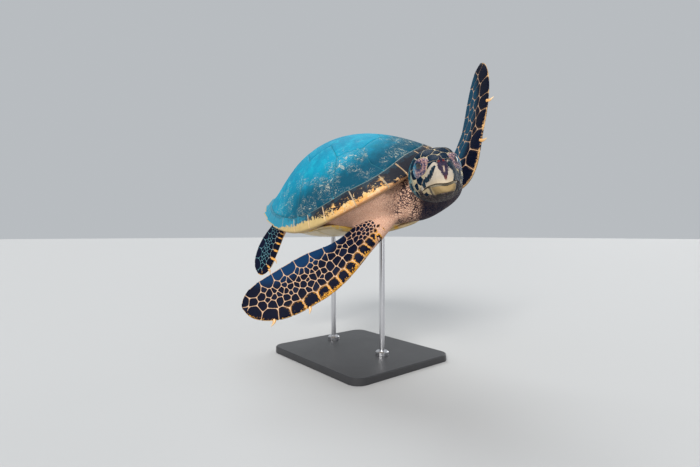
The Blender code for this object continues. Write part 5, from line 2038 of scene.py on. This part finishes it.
def beak_finish(upper):
    m = Paint("beak_horn_upper" if upper else "beak_horn_lower", 0.5, shine=0.04)
    head = m.split(m.at("head"))
    turned = m.attr("turned")
    level = m.attr("level")
    side = m.maths("ABSOLUTE", head["X"])
    angle = m.maths("ABSOLUTE", turned)
    fibre = m.noise(1.0, 5.0, 0.65, where=m.stretch((340.0, 340.0, 60.0), m.at("head")))
    blotch = m.noise(95.0, 4.0, 0.6, where=m.at("head"))
    fine = m.noise(600.0, 3.0, 0.6)
    wave = fibre + blotch - 1.0
    if upper:
        body = m.blend(blotch, (0.33, 0.28, 0.225), (0.49, 0.43, 0.355))
        body = m.blend(m.step(level, 0.35, 0.0) * 0.5, body, (0.52, 0.4, 0.24))
        wide = m.maths("MULTIPLY_ADD", m.step(level, 0.02, 0.75), 0.0105, 0.001)
        streak = wide - side
        streak = streak + wave * 0.014
        dark = m.step(streak, -0.0003, 0.0012) * m.step(level, 0.1, 0.24)
        heart = side + wave * 0.01
        heart = m.step(heart - 0.0024, 0.001, -0.001)
        heart = heart * m.step(level, 0.84, 0.7)
        heart = heart * m.step(level, 0.46, 0.62)
        tone = m.blend(m.step(fibre, 0.36, 0.66), (0.001, 0.003, 0.02), (0.036, 0.022, 0.052))
        tone = m.blend(m.step(level, 0.46, 0.2), tone, (0.1, 0.026, 0.026))
        body = m.blend(dark * 0.97, body, tone)
        body = m.blend(heart * 0.8, body, (0.56, 0.42, 0.32))
        cheek = m.attr("cheek")
        patch = cheek + wave * 0.016
        patch = m.step(patch, 0.0068, 0.0054)
        navy = m.blend(m.step(fibre, 0.4, 0.7), (0.001, 0.005, 0.018), (0.004, 0.04, 0.065))
        # Painted shade: the left side of the upper beak is painted dark navy, joined with the cheek
        # mark widened there.
        far = turned + wave * 34.0
        far = far + m.maths("MULTIPLY_ADD", level, -13.0, 9.0)
        far = m.step(far, 24.0, 30.0) * m.step(far, 84.0, 66.0)
        patch = m.maths("MAXIMUM", patch, far)
        body = m.blend(patch * 0.98, body, navy)
        nose = m.step(head["Z"], 0.011, 0.017) * m.step(side, 0.015, 0.01)
        body = m.blend(nose * 0.9, body, (0.03, 0.012, 0.03))
        # Painted shade: a dark line along the lower edge of the upper beak, in the gap of the mouth.
        body = m.blend(m.step(level, 0.045, 0.015), body, (0.03, 0.018, 0.014))
    else:
        body = m.blend(blotch, (0.22, 0.15, 0.065), (0.38, 0.27, 0.135))
        # Painted shade: the lower part of the lower beak is darker brown.
        body = m.blend(m.step(level, 0.35, 0.0) * 0.6, body, (0.16, 0.11, 0.06))
        patch = angle - 52.0 + wave * 30.0
        body = m.blend(m.step(patch, -16.0, 6.0), body, (0.4, 0.32, 0.2))
        patch = m.step(patch, -3.0, 3.0) * m.step(patch, 16.0, 10.0)
        body = m.blend(patch * 0.8, body, (0.01, 0.018, 0.03))
        # Painted shade: the left side of the lower beak is painted near black.
        far = turned + wave * 26.0
        body = m.blend(m.step(far, 22.0, 34.0) * 0.94, body, (0.003, 0.005, 0.014))
        # Painted shade: a dark line along the top of the lower beak, in the gap of the mouth.
        body = m.blend(m.step(level, 0.9, 0.97), body, (0.02, 0.012, 0.01))
    m.colour(body)
    m.rough(0.44, 0.62, blotch)
    m.bump(fibre, 0.25, 0.0007)
    m.bump(fine, 0.15, 0.0002)
    return m.mat


def claw_finish():
    m = Paint("claw_horn", 0.36, coat=0.2)
    reach = m.attr("reach")
    body = m.blend(m.step(reach, 0.2, 0.9), (0.7, 0.36, 0.1), (0.66, 0.5, 0.3))
    body = m.blend(m.noise(300.0) * 0.4, body, (0.3, 0.17, 0.08))
    m.colour(body)
    m.bump(m.noise(500.0), 0.2, 0.0003)
    return m.mat


def stand_paint():
    m = Paint("stand_powder_coat", 0.42)
    where = m.result(m.node("TexCoord"), "Object")
    m.colour(m.blend(m.noise(40.0, where=where), (0.018, 0.018, 0.02), (0.028, 0.028, 0.031)))
    m.bump(m.noise(1500.0, where=where), 0.25, 0.0002)
    m.rough(0.36, 0.5, m.noise(9.0, where=where))
    return m.mat


def stand_steel():
    m = Paint("stand_brushed_steel", 0.3, metallic=1.0)
    where = m.result(m.node("TexCoord"), "Object")
    lines = m.noise(1.0, 3.0, 0.6, where=m.stretch((2400.0, 2400.0, 12.0), where))
    m.colour(m.blend(lines, (0.5, 0.5, 0.52), (0.66, 0.66, 0.68)))
    m.rough(0.22, 0.38, lines)
    m.bump(lines, 0.08, 0.0001)
    return m.mat


# ---- assembly --------------------------------------------------------------

base_points, base_faces = shell_base()
base_rim = rim_beside(base_points[:, 1])[0][:, 2]
shell = piece("carapace_base", base_points, base_faces, seam_finish(), "shell_upper",
              under=smooth(0.001, 0.005, base_rim - base_points[:, 2]))
main_scutes(dome_finish())
marginal_scutes(margin_finish())
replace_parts(shell, "carapace")

lower = piece("plastron_base", *plastron_base(), plastron_seam_finish(), "shell_lower")
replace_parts(lower, "plastron")
plastron_scutes(plastron_finish())

skin_mesh, skin_label, skin_share = make_skin()
skin_points = points_of(skin_mesh)
skin_faces = [tuple(face.vertices) for face in skin_mesh.polygons]
skin_tree = BVHTree.FromPolygons([Vector(p) for p in skin_points], skin_faces)
skin = piece("skin", skin_points, skin_faces, skin_finish(), "skin", turn=False,
             **skin_layers(skin_points, skin_label, skin_share))
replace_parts(skin, "trunk", "neck", "head", "tail", "flipper_front_left", "flipper_front_right",
            "flipper_hind_left", "flipper_hind_right")

scale_mat = limb_scale_finish()
for limb in LIMBS:
    limb_scales(limb, scale_mat, skin_tree)
head_scales(head_scale_finish(), skin_tree)

lid_mat = lid_finish()
eye_mat = eye_finish()
for side, word in ((1.0, "left"), (-1.0, "right")):
    points, faces, share = lid_mesh(side, skin_tree)
    piece("eyelids_" + word, points, faces, lid_mat, "skin", share=share,
          head=body_to_head(points))
    points, faces, away, turns = eye_ball(side)
    spoke = np.stack([np.cos(turns) * 9.0, np.sin(turns) * 9.0, away * 2.0], -1)
    ball = piece("eyeball_" + word, points, faces, eye_mat, "eye", away=away, spoke=spoke)
    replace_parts(ball, "eye_" + word)

upper_beak = beak_piece("beak_horn_upper", beak_finish(True), skin_tree, True)
lower_beak = beak_piece("beak_horn_lower", beak_finish(False), skin_tree, False)
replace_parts(upper_beak, "beak_upper")
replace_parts(lower_beak, "beak_lower")

claw_mat = claw_finish()
for limb in LIMBS:
    for number, part in enumerate(CLAW_PLACES[limb.name], start=1):
        name = limb.name.replace("flipper", "claw") + "_" + str(number)
        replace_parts(claw(name + "_horn", limb, part, claw_mat), name)

paint = stand_paint()
steel = stand_steel()
for name, finish in (("stand_base", paint), ("stand_rod_front", steel), ("stand_rod_rear", steel)):
    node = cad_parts[name]
    node.data.materials.clear()
    node.data.materials.append(finish)


# ---- floor, light and camera -----------------------------------------------

FLOOR_REACH = 40.0
FLOOR_Z = -0.0006          # just under the stand, so that the two do not share a plane
WHITE = (1.0, 1.0, 1.0)
LAMPS = (                  # name, where its light comes from, strength, width in degrees, colour
    ("key", (-5.55, -3.45, 3.45), 3.15, 22.0, (1.0, 0.985, 0.96)),
    ("fill", (-1.35, -7.05, 0.75), 0.58, 38.0, WHITE),
    ("over", (1.25, 3.65, 6.25), 1.36, 36.0, (0.94, 0.98, 1.0)),
    ("side", (7.25, 0.95, 1.95), 0.72, 40.0, WHITE),
)
CAMERA_PLACE = (-0.957, -1.130, 0.429)
CAMERA_WAY = (0.631, 0.776, 0.0)

floor_corners = [(x * FLOOR_REACH, y * FLOOR_REACH, FLOOR_Z)
                 for x, y in ((-1, -1), (1, -1), (1, 1), (-1, 1))]
floor = show("floor", make_mesh("floor", floor_corners, [(0, 1, 2, 3)]))
matt = Paint("floor_matt", 0.8, shine=0.15)
matt.colour((0.48, 0.48, 0.48))
floor.data.materials.append(matt.mat)

for name, toward, strength, width, colour in LAMPS:
    lamp = bpy.data.lights.new(name, "SUN")
    lamp.energy = strength
    lamp.angle = math.radians(width)
    lamp.color = colour
    show(name, lamp).rotation_euler = Vector(toward).to_track_quat("Z", "Y").to_euler()

world = bpy.data.worlds.new("studio")
world.use_nodes = True
sky = world.node_tree.nodes["Background"]
sky.inputs["Color"].default_value = (0.80, 0.84, 0.88, 1.0)
sky.inputs["Strength"].default_value = 0.60
bpy.context.scene.world = world
bpy.context.scene.view_settings.view_transform = "Standard"

camera_data = bpy.data.cameras.new("camera")
camera_data.lens = 21.6
camera_data.sensor_width = 36.0
camera_data.clip_start = 0.02
camera = show("camera", camera_data)
camera.location = CAMERA_PLACE
camera.rotation_euler = Vector(CAMERA_WAY).to_track_quat("-Z", "Y").to_euler()
bpy.context.scene.camera = camera
